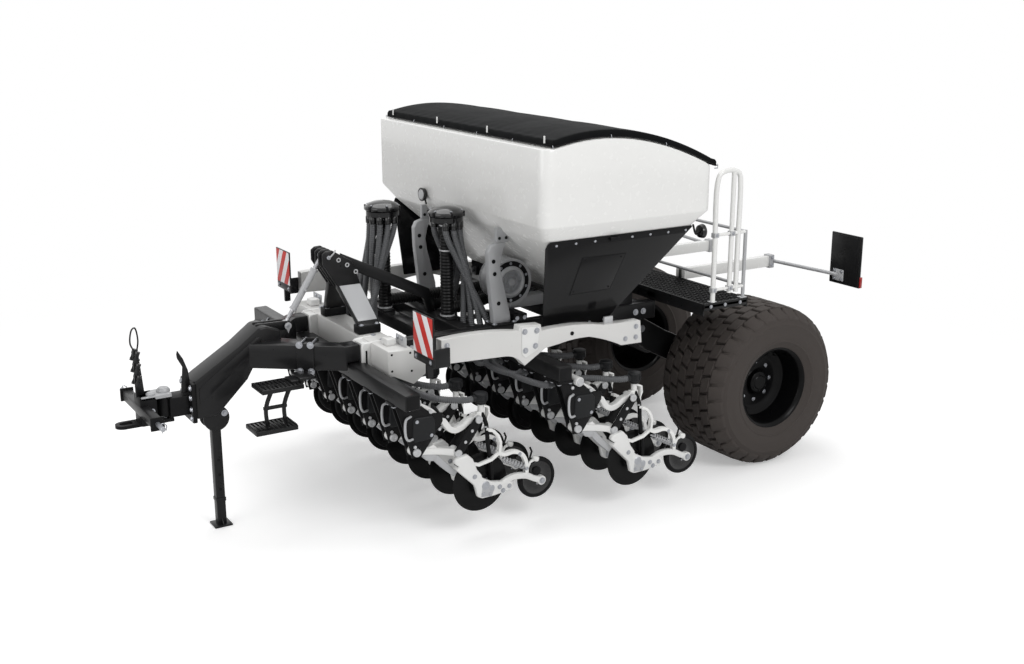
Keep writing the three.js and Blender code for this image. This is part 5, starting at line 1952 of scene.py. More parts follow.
# ------------------------------------------------------------------------------ air system
@dataclass
class Blower:
    """The fan under the hopper: a spiral housing with its intake facing left."""

    x: float = 0.4
    y: float = -2.16
    z: float = 1.74
    radius: float = 0.21
    half_width: float = 0.1

    def spiral(self, scale: float) -> list[tuple]:
        """Draw the housing's outline.

        Args:
            scale: Its size about its centre.

        Returns:
            (y, z) points.
        """
        line = []
        for i in range(49):
            angle = math.tau * i / 48
            r = self.radius * (0.78 + 0.22 * i / 48) * scale
            line.append((self.y - r * math.sin(angle), self.z - r * math.cos(angle)))
        return line

    def build(self) -> None:
        """Build the housing, intake, outlet and mounting as one piece."""
        x0, x1 = self.x - self.half_width, self.x + self.half_width
        shape = Shape().plate(GREY_ENAMEL_AND_PAINTED_REFLECTION, self.spiral(0.975), (x0 + 0.004, x1 - 0.004), 0.008)
        for ends in ((x0, x0 + 0.008), (x1 - 0.008, x1)):
            shape.plate(GREY_ENAMEL_AND_PAINTED_REFLECTION, self.spiral(1.0), ends, 0.002)
        ring = [(0.13, 0), (0.13, 0.010), (0.122, 0.018), (0.112, 0.030), (0.104, 0.032), (0.098, 0.028),
                (0.086, 0.006), (0.084, -0.03), (0.088, -0.03), (0.13, 0)]
        shape.lathe(GREY_ENAMEL_AND_PAINTED_REFLECTION, ring, (x1, self.y, self.z), sides=48)
        shape.lathe(BLACK_CASTING_AND_HOLE_SHADE, [(0.168, 0), (0.168, 0.006), (0.128, 0.008), (0.128, 0), (0.168, 0)],
                    (x1, self.y, self.z), sides=48)
        screw = Shape().bolts([(0.006, 0, 0.150)], LEFT, 0.013)
        shape.join(REPEAT.copies(screw, Repeat.RING, 10).moved(x1, self.y, self.z))
        shape.lathe(BLACK_CASTING_AND_HOLE_SHADE, [(0, -0.02), (0.086, -0.02), (0.086, -0.012), (0, -0.012)],
                    (x1, self.y, self.z), sides=32)
        bar = Shape().rod(ZINC, (0.012, 0.018, 0), (0.012, 0.089, 0), 0.003, 8)
        shape.join(REPEAT.copies(bar, Repeat.RING, 10).moved(x1, self.y, self.z))
        for radius in (0.03, 0.055, 0.08):
            hoop = [(x1 + 0.012, self.y + radius * math.cos(a), self.z + radius * math.sin(a))
                    for a in np.linspace(0, math.tau, 33)]
            shape.tube(ZINC, hoop, 0.003, 8)
        shape.lathe(GREY_ENAMEL_AND_PAINTED_REFLECTION, [(0, 0), (0.03, 0), (0.032, 0.006), (0.026, 0.022), (0, 0.024)],
                    (x1 + 0.004, self.y, self.z), sides=24)
        shape.block(GREY_ENAMEL_AND_PAINTED_REFLECTION, about(self.x, 0.06), (self.y - 0.01, OUTLET_FRONT - GAP), (1.505, 1.595),
                    0.01)
        shape.block(BLACK_COAT, about(self.x, 0.075), (-1.80, -1.775), (1.492, 1.608), 0.004)
        shape.block(BLACK_COAT, (self.x - 0.04, 0.66), about(self.y, 0.06), (FRAME_TOP + GAP, 1.51), 0.006)
        shape.block(BLACK_COAT, about(self.x, 0.04), about(self.y, 0.06), (1.48, 1.635), 0.006)
        shape.bolts([(0.66, self.y + dy, 1.48) for dy in (-0.035, 0.035)], LEFT, 0.018)
        shape.piece("radial_blower", ROOT, "fan_housing", "blower")


@dataclass
class DistributionHead:
    """A seed distributor: ribbed riser, outlet ring and glossy domed cap."""

    side: int
    duct_x: float
    x: float = 0.25
    base: float = FRAME_TOP + GAP
    top: float = 2.315
    cap_radius: float = 0.145

    def build(self) -> None:
        """Build the head with its riser and air duct as one piece."""
        x, y, r, z = self.x * self.side, HEAD_Y[self.side], self.cap_radius, self.top - 0.04
        riser = smooth_path([(x, y, self.base), (x, y, 1.9), (x, y, z - 0.03)], 0.05)
        shape = REPEAT.hose(riser, 0.055, DUCT, 0.026, 0.005, 20)
        duct = smooth_path([
            (x, y, 1.53), (x, y + 0.06, 1.53), (x, y + 0.23, 1.53), (self.duct_x, y + 0.45, 1.53),
            (self.duct_x, -1.92, 1.53), (self.duct_x, OUTLET_FRONT - GAP, 1.53)], 0.03)
        shape.join(REPEAT.hose(duct, 0.05, DUCT, 0.024, 0.005, 20))
        shape.lathe(GLOSS_ABS, [
            (0, 0), (r - 0.022, 0), (r - 0.003, 0.008), (r, 0.014), (r, 0.034), (r - 0.004, 0.040),
            (r - 0.012, 0.044), (r - 0.03, 0.060), (r - 0.07, 0.074), (r - 0.11, 0.081), (0.02, 0.083),
            (0, 0.083)], (x, y, z), UP, 56)
        for height in (1.47, 2.0, 2.2):
            shape.lathe(GALVANISED, [(0.0555, 0), (0.059, 0), (0.059, 0.012), (0.0555, 0.012), (0.0555, 0)],
                        (x, y, height), UP, 32)
        clip = Shape().block(BLACK_CASTING_AND_HOLE_SHADE, (-0.01, 0.01), about(r, 0.006), (0.004, 0.046), 0.003)
        clip.bolts([(0, r - 0.02, 0.0515)], UP, 0.012)
        for number in range(6):
            shape.join(clip.turned(Matrix.Translation((x, y, z))
                                   @ Matrix.Rotation(math.radians(60 * number + 20), 4, "Z")))
        shape.block(BLACK_COAT, about(x, 0.09), about(y, 0.05), (FRAME_TOP + GAP, 1.466), 0.004)
        name = f"distribution_head_{SIDE_NAMES[self.side]}"
        shape.piece(f"domed_{name}", ROOT, "black_plastic", name)


@dataclass
class SeedHoses:
    """Eight ribbed hoses from one distribution head to the cups of one rank."""

    side: int
    disc_y: float
    first: float
    head_x: float = 0.25
    pitch: float = UNIT_PITCH
    ring_top: float = 2.2747
    cap_radius: float = 0.145
    radius: float = 0.0255
    lane_height: float = 1.12
    lane_pitch: float = 0.05
    frame_top: float = FRAME_TOP

    def route(self, number: int) -> tuple[list[tuple], tuple]:
        """Route one hose from the head to its cup.

        Args:
            number: Which of the eight hoses it is, from the machine's left to its right.

        Returns:
            The points it passes, and the (x, y) place where it leaves the ring.
        """
        x, y = self.side * self.head_x, HEAD_Y[self.side]
        row_x = self.first - number * self.pitch
        fan = (number - 3.5) / 3.5
        sign = 1 if fan > 0 else -1
        angle = -fan * math.tau / 3
        lane = abs(number - 3.5) - 0.5
        rearward = 1 if self.side > 0 else -1
        lane_y = (self.disc_y - 0.775 - self.lane_pitch * (3 - lane) if self.side > 0
                  else self.disc_y - 0.185 - self.lane_pitch * lane)
        reach = self.cap_radius - 0.036
        start = (x + reach * math.sin(angle), y + rearward * reach * math.cos(angle))
        drop_x = x - fan * 0.2 - sign * 0.09
        turn = 1 if row_x > drop_x else -1
        beside = row_x - turn * 0.112
        low, cup_y = self.lane_height, self.disc_y + 0.012
        path = [
            (*start, self.ring_top - 0.02), (*start, self.ring_top - 0.12),
            (x + 1.35 * reach * math.sin(angle), y + rearward * (0.1 + 0.03 * math.cos(angle)),
             self.frame_top + 0.38),
            (drop_x, lane_y, self.frame_top - 0.06), (drop_x + turn * 0.02, lane_y, low + 0.06),
            (drop_x + turn * 0.09, lane_y, low)]
        if self.side > 0:
            path += [(beside, lane_y + 0.04, low), (beside, self.disc_y - 0.67, low),
                     (beside, self.disc_y - 0.4, low)]
        else:
            path += [(beside, lane_y, low)]
        path += [(row_x, cup_y - 0.13, 1.095), (row_x, cup_y - 0.0523, 1.095)]
        return path, start

    def build(self) -> None:
        """Build the hoses, the outlet ring and its collars as one piece."""
        x, y, top = self.side * self.head_x, HEAD_Y[self.side], self.ring_top
        ring = [(0.062, -0.045), (self.cap_radius - 0.02, -0.045), (self.cap_radius - 0.012, -0.038),
                (self.cap_radius - 0.012, 0), (0.062, 0), (0.062, -0.045)]
        shape = Shape().lathe(GLOSS_ABS, ring, (x, y, top), UP, 48)
        for number in range(8):
            path, start = self.route(number)
            shape.join(REPEAT.hose(smooth_path(path, 0.018), self.radius, HOSE, 0.015, 0.0032, 12))
            shape.lathe(GLOSS_ABS, [(0, 0), (0.027, 0), (0.029, 0.006), (0.029, 0.05), (0.026, 0.056),
                                    (0, 0.056)], (*start, top - 0.095), UP, 18)
        name = f"seed_hoses_{SIDE_NAMES[self.side]}"
        shape.piece(f"ribbed_{name}", ROOT, "hose_rubber", name)


# ------------------------------------------------------------------------------ drawbar and hitch
@dataclass
class Drawbar:
    """The nose box with its two arms to the frame, the latch lever and the stand's plates."""

    half: float = 0.12
    front: float = -4.65
    arm_end: float = -3.5153
    knee: float = -3.621
    level: tuple = (1.25, 1.44)
    stand: tuple = (-4.48, 0.88)

    def clamp(self) -> Shape:
        """Draw the clamp plates round one arm, with four long bright bolts.

        Returns:
            The clamp of the left arm.
        """
        start, end = Vector((0.12, -4.23, 0)), Vector((0.57, self.knee - 0.02, 0))
        along = (end - start).normalized()
        out = Vector((-along.y, along.x, 0)) * -1
        place = start + along * 0.44
        shape = Shape()
        for low, high in ((0.001, 0.011), (-0.165, -0.155)):
            shape.hull(BLACK_COAT, [place + along * a + out * o + Vector((0, 0, h)) for a in (-0.065, 0.065)
                                    for o in (low, high) for h in (1.232, 1.458)], 0.003)
        for a in (-0.042, 0.042):
            for h in (1.244, 1.447):
                base = place + along * a + Vector((0, 0, h))
                shape.rod(ZINC, base - out * 0.19, base + out * 0.012, 0.008, 12)
                shape.bolts([base + out * 0.011], out, 0.028)
        return shape

    def build(self) -> None:
        """Build the drawbar as one piece."""
        w, f, z = self.half, self.front, FRAME_TOP
        shape = Shape()
        nose = [(f, z - 0.25), (f + 0.05, z - 0.215), (-4.3, z - 0.03), (-4.13, z + 0.098),
                (-4.08, z + 0.105), (-3.96, z + 0.06), (-3.96, z - 0.2), (-4.19, z - 0.2),
                (-4.24, z - 0.285), (-4.49, z - 0.53), (f, z - 0.53)]
        shape.plate(BLACK_COAT, nose, (-w, w), 0.016, segments=3)
        own = Shape()
        corners = [(x, y, h) for x in (0.02, w) for y in (-4.23, -4.0) for h in self.level]
        corners += [(x, y, h) for x in (0.43, 0.57) for y in (self.knee - 0.02, self.knee)
                    for h in self.level]
        own.hull(BLACK_COAT, corners, 0.014)
        own.block(BLACK_COAT, (0.43, 0.57), (self.knee - 0.03, self.arm_end), (1.31, 1.44), 0.012)
        own.join(self.clamp())
        lug = [(-4.14, z + 0.06), (-3.99, z + 0.03), (-3.85, z + 0.04), (-3.84, z + 0.095),
               (-3.91, z + 0.105), (-4.13, z + 0.11)]
        own.plate(BLACK_COAT, lug, (0.022, 0.042), 0.004)
        plate = arc(self.stand, 0.1, 0, 360, 40)[:-1]
        own.plate(BLACK_COAT, plate, (0.045, 0.057), 0.003)
        own.bolts([(0.057, self.stand[0] + 0.07 * math.cos(a), self.stand[1] + 0.07 * math.sin(a))
                   for a in (0.5, 2.3)], LEFT, 0.026)
        shape.join(own.pair())
        pin_y, pin_z = LINK_PINS[0]
        shape.rod(ZINC, (-0.06, pin_y, pin_z), (0.07, pin_y, pin_z), 0.014, 16)
        drop = arc((pin_y, pin_z), 0.028, -60, 240, 16) + [(pin_y, z + 0.01)]
        shape.plate(GREY_ENAMEL_AND_PAINTED_REFLECTION, drop, (0.062, 0.068), 0.002)
        shape.block(BLACK_CASTING_AND_HOLE_SHADE, (-w - 0.01, w + 0.01), (f - 0.03, f + 0.005), (z - 0.555, z - 0.25),
                    0.008)
        shape.bolts([(x, f - 0.03, h) for x in (-0.105, 0.105) for h in (z - 0.52, z - 0.45, z - 0.36,
                                                                         z - 0.285)], AHEAD, 0.026)
        shape.block(BLACK_CASTING_AND_HOLE_SHADE, (-0.08, 0.08), (-4.83, f), (z - 0.495, z - 0.345), 0.008)
        shape.lathe(BLACK_CASTING_AND_HOLE_SHADE, [
            (0.027, 0), (0.05, 0), (0.055, 0.005), (0.055, 0.15), (0.05, 0.1547), (0.027, 0.1547),
            (0.027, 0)], (0, -4.85, z - 0.49), UP, 32)
        lever = [(f - 0.08, z - 0.33), (f - 0.01, z - 0.33), (f - 0.012, z - 0.25), (f - 0.02, z - 0.16),
                 (f - 0.05, z - 0.07), (f - 0.09, z), (f - 0.098, z - 0.03), (f - 0.095, z - 0.06),
                 (f - 0.075, z - 0.10), (f - 0.06, z - 0.13)]
        shape.plate(BLACK_COAT, lever, (0.04, 0.052), 0.004)
        rib = [(-4.62, z - 0.30), (-4.56, z - 0.25), (-4.16, z + 0.03), (-4.12, z + 0.03),
               (-4.12, z - 0.02), (-4.50, z - 0.33), (-4.62, z - 0.42)]
        shape.join(Shape().plate(BLACK_COAT, rib, (w - 0.004, w + 0.006), 0.004).pair())
        shape.piece("two_armed_drawbar", ROOT, "black_paint", "drawbar")


@dataclass
class HitchYoke:
    """The turning yoke: eye plate, cross shaft with lower-link pins, and the hose rack."""

    pivot_y: float = -4.85
    shaft: tuple = (-5.016, 1.039, 0.4, 0.537)
    front: float = -5.215

    def plate_with_slot(self) -> Shape:
        """Draw the eye plate as two arms joined by a round front.

        Returns:
            The plate.
        """
        outer, inner = (arc((0, self.front + 0.06), radius, -90, 0) for radius in (0.06, 0.03))
        left = [*outer, (0.06, -4.80), (0.0, -4.80), (0.0, -5.09), (0.03, -5.09), *inner[::-1]]
        return Shape().plate(BLACK_CASTING_AND_HOLE_SHADE, left, (0.92, 0.945), 0.0, across="z").pair()

    def build(self) -> None:
        """Build the yoke on its own body."""
        y, z = self.pivot_y, FRAME_TOP
        fy, fz, half, reach = self.shaft
        shape = self.plate_with_slot()
        shape.rod(ZINC, (0, y, z - 0.53), (0, y, z - 0.285), 0.025, 24)
        shape.block(GREY_ENAMEL_AND_PAINTED_REFLECTION, (-0.08, 0.08), (fy - 0.02, y + 0.04), (z - 0.335, z - 0.305), 0.006)
        shape.lathe(GREY_ENAMEL_AND_PAINTED_REFLECTION, [(0, 0), (0.05, 0), (0.05, 0.012), (0.036, 0.03), (0, 0.03)],
                    (0, y, z - 0.306), UP, 28)
        shape.lathe(GREY_ENAMEL_AND_PAINTED_REFLECTION, [(0, 0), (0.034, 0), (0.034, 0.012), (0.024, 0.022), (0, 0.022)],
                    (0.045, fy + 0.06, z - 0.306), UP, 24)
        shape.block(BLACK_CASTING_AND_HOLE_SHADE, (-0.08, 0.08), (fy - 0.03, y - 0.07), (z - 0.53, z - 0.305), 0.012)
        shape.block(BLACK_COAT, (-half, half), about(fy, 0.0375), about(fz, 0.0375), 0.01)
        shape.rod(ZINC, (-reach, fy, fz), (reach, fy, fz), 0.018, 24, 0.004)
        own = Shape().block(BLACK_CASTING_AND_HOLE_SHADE, (half - 0.012, half + 0.004), about(fy, 0.05),
                            about(fz, 0.05), 0.004)
        own.tube(ZINC, smooth_path([(reach - 0.03, fy, fz - 0.035), (reach - 0.03, fy, fz + 0.035),
                                    (reach - 0.026, fy + 0.03, fz + 0.02),
                                    (reach - 0.03, fy + 0.028, fz - 0.02)], 0.01), 0.0035, 8)
        own.bolts([(0.08, fy + dy, z - 0.42) for dy in (0.0, 0.055)], LEFT, 0.022)
        shape.join(own.pair())
        rack = [(fy + 0.03, z - 0.32), (fy - 0.035, z - 0.32), (fy - 0.035, z - 0.05), (fy - 0.03, z + 0.04),
                (fy + 0.005, z + 0.04), (fy + 0.01, z - 0.05)]
        shape.plate(BLACK_COAT, rack, (-0.008, 0.008), 0.002)
        for height in (1.24, 1.33, 1.42):
            for x in (-0.045, 0.045):
                shape.block(BLACK_COAT, (min(x, 0) - 0.004, max(x, 0) + 0.004), (fy - 0.03, fy + 0.004),
                            about(height, 0.006), 0.002)
                shape.lathe(MOULDING, [(0, 0), (0.015, 0), (0.015, 0.02), (0.012, 0.024), (0.012, 0.05),
                                       (0.016, 0.052), (0.016, 0.07), (0, 0.072)],
                            (x, fy - 0.034, height - 0.018), (0, 0.35, 1), 16)
                shape.lathe(GLOSS_ABS, [(0, 0), (0.017, 0), (0.017, 0.016), (0, 0.018)],
                            (x, fy - 0.010, height + 0.048), (0, 0.35, 1), 16)
        loop = smooth_path([
            (0, fy - 0.018, z + 0.02), (0, fy - 0.045, z + 0.09), (0, fy - 0.025, z + 0.19),
            (0, fy - 0.005, z + 0.2), (0, fy + 0.012, z + 0.11), (0, fy - 0.002, z + 0.02)], 0.01)
        shape.tube(BLACK_COAT, loop, 0.006, 10)
        shape.piece("turning_yoke", "hitch_yoke", "black_paint", "hitch_yoke")


@dataclass
class ParkingLeg:
    """The square leg that turns between two plates under the drawbar's nose."""

    y: float = -4.48
    height: float = 0.88
    half: float = 0.035
    foot: float = 0.07

    def build(self) -> None:
        """Build the leg on its own body."""
        h = self.half
        leg = arc((self.y, self.height), h, 0, 180, 12) + [(self.y - h, 0.01), (self.y + h, 0.01)]
        shape = Shape().plate(BLACK_COAT, leg, (-h, h), 0.006)
        shape.block(BLACK_COAT, (-self.foot, self.foot), about(self.y, self.foot), (0, 0.015), 0.004)
        gusset = [(h, 0.012), (self.foot - 0.008, 0.012), (h, 0.06)]
        shape.join(Shape().plate(BLACK_COAT, gusset, about(self.y, 0.004), 0.001, "y").pair())
        shape.rod(ZINC, (-h - 0.0095, self.y, self.height), (h + 0.0095, self.y, self.height), 0.024, 20,
                  0.003)
        # Painted shade: flat black discs on both sides of the leg stand in for its holes.
        for z in (0.30, 0.42, 0.54):
            shape.join(Shape().stub(BLACK_CASTING_AND_HOLE_SHADE, (h - 0.0005, self.y, z), 0.012, 0.002, sides=16).pair())
        shape.block(BLACK_COAT, (-0.039, 0.039), about(self.y, 0.039), (0.20, 0.23), 0.003)
        shape.piece("folding_leg", "parking_stand", "black_paint", "parking_stand")


@dataclass
class TopLink:
    """The turnbuckle between drawbar and mast."""

    low: tuple = LINK_PINS[0]
    high: tuple = LINK_PINS[1]

    def build(self) -> None:
        """Build the turnbuckle as one piece."""
        start, end = Vector((0, *self.low)), Vector((0, *self.high))
        axis = (end - start).normalized()
        shape = Shape()
        for y, z in (self.low, self.high):
            shape.lathe(GREY_ENAMEL_AND_PAINTED_REFLECTION, [(0, -0.0217), (0.028, -0.0217), (0.032, -0.016), (0.032, 0.016),
                                      (0.028, 0.0217), (0, 0.0217)], (0, y, z), sides=28)
        shape.rod(GREY_ENAMEL_AND_PAINTED_REFLECTION, start + axis * 0.13, end - axis * 0.13, 0.0255, 24, 0.004)
        shape.rod(DRAWN_STEEL, start + axis * 0.028, end - axis * 0.028, 0.017, 20)
        for place in (start + axis * 0.125, end - axis * 0.14):
            shape.stub(GREY_ENAMEL_AND_PAINTED_REFLECTION, place, 0.03, 0.018, axis, 6)
        thread = [(0, 0), (0.017, 0), (0.0195, 0.0024), (0.017, 0.0048), (0, 0.0048)]
        for base in (start + axis * 0.05, end - axis * 0.115):
            for i in range(9):
                shape.lathe(DRAWN_STEEL, thread, base + axis * 0.007 * i, axis, 16)
        middle_y, middle_z = (start + axis * 0.30).yz
        shape.rod(GREY_ENAMEL_AND_PAINTED_REFLECTION, (-0.05, middle_y, middle_z), (0.05, middle_y, middle_z), 0.008, 12)
        shape.piece("turnbuckle_link", ROOT, "zinc_steel", "top_link")


@dataclass
class Mast:
    """The mast on the frame's front: two cheeks on splayed legs, with a tie bar to the rear."""

    front: float = -3.4347
    rear: float = -3.2447
    base: float = FRAME_TOP

    def build(self) -> None:
        """Build the mast as one piece."""
        z, y0, y1 = self.base, self.front, self.rear
        shape = Shape()
        cheek = [(-3.6, z + 0.6), (-3.57, z + 0.622), (-3.52, z + 0.625), (-3.36, z + 0.525),
                 (-3.345, z + 0.50), (y1 - 0.045, z + 0.33), (y0 - 0.045, z + 0.325), (-3.6, z + 0.52)]
        own = Shape()
        for ends in ((0.022, 0.042), (0.10, 0.12)):
            own.plate(BLACK_COAT, cheek, ends, 0.006)
        own.block(BLACK_COAT, (0.03, 0.11), (-3.43, -3.39), (z + 0.35, z + 0.54), 0.006)
        top = [(x, y, h) for x in (0.06, 0.12) for y in (y0 - 0.045, y1 - 0.045)
               for h in (z + 0.31, z + 0.34)]
        foot = [(x, y, h) for x in (0.29, 0.35) for y in (y0 + 0.02, y1) for h in (z + 0.05, z + 0.07)]
        own.hull(BLACK_COAT, top + foot, 0.01)
        # Painted reflection: a thin light grey slab on each leg's sloping face stands in for the bright
        # surroundings mirrored in its glossy black paint.
        face = [(0.12, y0 - 0.036, z + 0.34), (0.12, y1 - 0.054, z + 0.34),
                (0.326, y1 - 0.014, z + 0.098), (0.326, y0 + 0.018, z + 0.098)]
        out = Vector((0.76, 0, 0.65)) * 0.003
        own.hull(GREY_ENAMEL_AND_PAINTED_REFLECTION, [Vector(p) + out * k for p in face for k in (-1.0, 1.0)], 0.001)
        own.block(BLACK_CASTING_AND_HOLE_SHADE, (0.27, 0.37), (y0, y1), (z + GAP, z + 0.07), 0.01)
        own.bolts([(x, y, z + 0.07) for x in (0.285, 0.355) for y in (y0 + 0.03, y1 - 0.03)], UP, 0.022)
        for y, h in ((-3.47, z + 0.545), (-3.40, z + 0.50), (-3.33, z + 0.44)):
            own.lathe(GALVANISED, [(0.010, 0), (0.018, 0), (0.018, 0.003), (0.010, 0.003), (0.010, 0)],
                      (0.1195, y, h), sides=18)
        shape.join(own.pair())
        pin_y, pin_z = LINK_PINS[1]
        shape.rod(ZINC, (-0.135, pin_y, pin_z), (0.135, pin_y, pin_z), 0.016, 20, 0.003)
        grip = smooth_path([(0.128, pin_y, pin_z), (0.15, pin_y, 2.03), (0.152, -3.52, 2.06),
                            (0.13, -3.50, 2.075)], 0.01)
        shape.tube(GREY_ENAMEL_AND_PAINTED_REFLECTION, grip, 0.006, 10)
        shape.block(BLACK_COAT, (-0.06, 0.06), (-3.41, -3.36), (z + 0.44, z + 0.52), 0.006)
        tie = [(-3.4, z + 0.47), (-3.4, z + 0.57), (-2.66, z + 0.21), (-2.64, z + 0.20), (-2.59, z + 0.1),
               (-2.59, z + GAP), (-2.65, z + GAP), (-2.69, z + 0.12)]
        shape.plate(BLACK_COAT, tie, (-0.02, 0.02), 0.006)
        shape.rod(ZINC, (-0.055, -3.385, z + 0.515), (0.055, -3.385, z + 0.515), 0.014, 16)
        shape.piece("splayed_mast", ROOT, "black_paint", "mast")


@dataclass
class FrontSteps:
    """Two slotted treads with zigzag struts under the left drawbar arm."""

    top: float = 1.2497

    def build(self) -> None:
        """Build the steps as one piece."""
        shape = Shape()
        for y, z in ((-4.15, self.top - 0.045), (-4.21, self.top - 0.35)):
            rails = Shape()
            for ends in ((y - 0.16, y - 0.148), (y + 0.148, y + 0.16)):
                rails.block(BLACK_COAT, (0.38, 0.61), ends, (z - 0.018, z + 0.015), 0.003)
            for ends in ((0.38, 0.39), (0.60, 0.61)):
                rails.block(BLACK_COAT, ends, about(y, 0.15), (z - 0.018, z + 0.015), 0.003)
            slat = Shape().block(BLACK_COAT, (0.387, 0.603), (y - 0.146, y - 0.128), (z - 0.012, z + 0.013),
                                 0.002)
            rails.join(REPEAT.copies(slat, Repeat.ROW, 10, (0, 0.0304, 0)))
            tooth = Shape().block(BLACK_COAT, (0.40, 0.415), (y - 0.16, y - 0.15), (z + 0.010, z + 0.022),
                                  0.002)
            rails.join(REPEAT.copies(tooth, Repeat.ROW, 8, (0.0255, 0, 0)))
            rails.join(REPEAT.copies(tooth.moved(y=0.31), Repeat.ROW, 8, (0.0255, 0, 0)))
            shape.join(rails)
        low = self.top
        for dy in (-0.07, 0.07):
            line = smooth_outline([(-4.11 + dy, low - 0.03), (-4.18 + dy, low - 0.2),
                                   (-4.175 + dy, low - 0.345)])
            shape.strap(BLACK_COAT, line, 0.026, (0.486, 0.514), 0.004)
        for ends, y, z in (((0.38, 0.56), (-4.0, -3.88), (low - 0.02, low)),
                           ((0.40, 0.54), (-4.06, -3.96), (low - 0.045, low - 0.015)),
                           ((0.488, 0.512), (-4.27, -4.09), (low - 0.215, low - 0.19))):
            shape.block(BLACK_COAT, ends, y, z, 0.004)
        shape.bolts([(x, -3.94, low - 0.02) for x in (0.40, 0.54)], DOWN, 0.018)
        shape.piece("slotted_front_steps", ROOT, "black_paint", "front_steps")


# ------------------------------------------------------------------------------ markers and deck
@dataclass
class MarkerPanel:
    """A striped panel ahead of the side beam, on a black foot."""

    side: int
    half: float = 1.456
    width: float = 0.3
    y: float = -3.3717
    base: float = FRAME_TOP

    def build(self) -> None:
        """Build the marker as one piece."""
        z, y, inner = self.base, self.y, self.half - self.width
        shape = Shape().block(BLACK_COAT, (inner, self.half), (y, y + 0.012), (z + 0.065, z + 0.365), 0.003)
        shape.block(MARKER_SHEET, (inner + 0.006, self.half - 0.006), (y - 0.0015, y + 0.001),
                    (z + 0.072, z + 0.359), 0.0005)
        shape.block(BLACK_COAT, (inner, self.half), (y, y + 0.02), (z + 0.01, z + 0.07), 0.005)
        shape.block(BLACK_COAT, (1.3205, 1.336), (y + 0.05, y + 0.20), (z - 0.04, z + 0.10), 0.004)
        shape.block(BLACK_COAT, (1.312, 1.345), (y + 0.01, y + 0.06), about(z, 0.10), 0.006)
        shape.bolts([(x, y, z + 0.04) for x in (inner + 0.04, self.half - 0.04)], AHEAD, 0.018)
        name = f"marker_{SIDE_NAMES[self.side]}"
        shape.sided(self.side).piece(f"striped_{name}", ROOT, "marker_panel", name)


@dataclass
class Walkway:
    """The deck behind the hopper: a plate with grating bars on it, in a folded frame."""

    half: float = 1.29995
    front: float = -0.83
    rear: float = -0.36
    base: float = FRAME_TOP

    def build(self) -> None:
        """Build the deck as one piece."""
        z, h = self.base, self.half
        shape = Shape().block(BLACK_COAT, (-h, h), (self.front, self.front + 0.012), (z, z + 0.1), 0.003)
        shape.block(BLACK_COAT, (-h, h), (self.rear - 0.012, self.rear), (z + 0.02, z + 0.1), 0.003)
        shape.block(BLACK_COAT, (-h, h), (self.front + 0.01, self.rear - 0.01), (z + 0.06, z + 0.085), 0.003)
        own = Shape().block(BLACK_COAT, (h - 0.012, h), (self.front, self.rear), (z + 0.04, z + 0.1), 0.003)
        own.block(BLACK_COAT, (0.56, 0.68), (self.front, self.rear), (z + 0.02, z + 0.07), 0.006)
        own.block(BLACK_COAT, (0.575, 0.665), (self.front, self.front + 0.012), (1.30, z + 0.01), 0.003)
        own.bolts([(h, y, z + 0.07) for y in (-0.75, -0.6, -0.44)], LEFT, 0.016)
        shape.join(own.pair())
        bar = Shape().block(BLACK_COAT, (-h + 0.012, h - 0.012), (self.front + 0.030, self.front + 0.036),
                            (z + 0.08, z + 0.1), 0.001)
        shape.join(REPEAT.copies(bar, Repeat.ROW, 12, (0, 0.0365, 0)))
        rung = Shape().block(BLACK_COAT, (-h + 0.04, -h + 0.046), (self.front + 0.012, self.rear - 0.012),
                             (z + 0.082, z + 0.097), 0.001)
        shape.join(REPEAT.copies(rung, Repeat.ROW, 42, (0.06145, 0, 0)))
        shape.piece("grating_deck", ROOT, "black_paint", "walkway")


@dataclass
class Ladder:
    """The white ladder tubes on the left with the handrails round the deck."""

    x: float = 1.27995
    top: float = 2.61
    posts: tuple = (-0.72, -0.55, -0.48)
    rail_y: float = -0.40
    base: float = 1.55

    def build(self) -> None:
        """Build ladder and rails as one piece."""
        x, top = self.x, self.top
        y0, y1, y2 = self.posts
        shape = Shape()
        hoop = smooth_path([(x, y0, self.base + GAP), (x, y0, 2.0), (x, y0, top - 0.10),
                            (x, y0 + 0.03, top - 0.02), (x, y0 + 0.09, top), (x, y2 - 0.08, top),
                            (x, y2 - 0.015, top - 0.03), (x, y2, top - 0.10), (x, y2, 2.0),
                            (x, y2, self.base + 0.06)], 0.03)
        shape.tube(WHITE_COAT, hoop, 0.0205, 16)
        shape.rod(WHITE_COAT, (x, y1, self.base + 0.06), (x, y1, top - 0.004), 0.019, 16)
        for z in (2.10, 1.65):
            shape.rod(WHITE_COAT, (x, y0, z), (x, self.rail_y, z), 0.013, 16)
            shape.rod(GREY_ENAMEL_AND_PAINTED_REFLECTION, (-x, self.rail_y, z), (x, self.rail_y, z), 0.013, 16)
            for y in (y0, y1):
                shape.block(GALVANISED, about(x, 0.024), about(y, 0.024), about(z, 0.02), 0.005)
                shape.bolts([(x + 0.024, y, z)], LEFT, 0.014)
        own = Shape().rod(GREY_ENAMEL_AND_PAINTED_REFLECTION, (x, self.rail_y, self.base + GAP), (x, self.rail_y, 2.113), 0.015, 16)
        own.block(GALVANISED, (x - 0.03, x + 0.018), (self.rail_y - 0.035, self.rail_y + 0.03),
                  (self.base + GAP, self.base + 0.008), 0.002)
        shape.join(own.pair())
        shape.block(GALVANISED, (x - 0.03, x + 0.018), about(y0, 0.03), (self.base + GAP, 1.558), 0.002)
        shape.piece("ladder_and_rails", ROOT, "white_paint", "ladder")


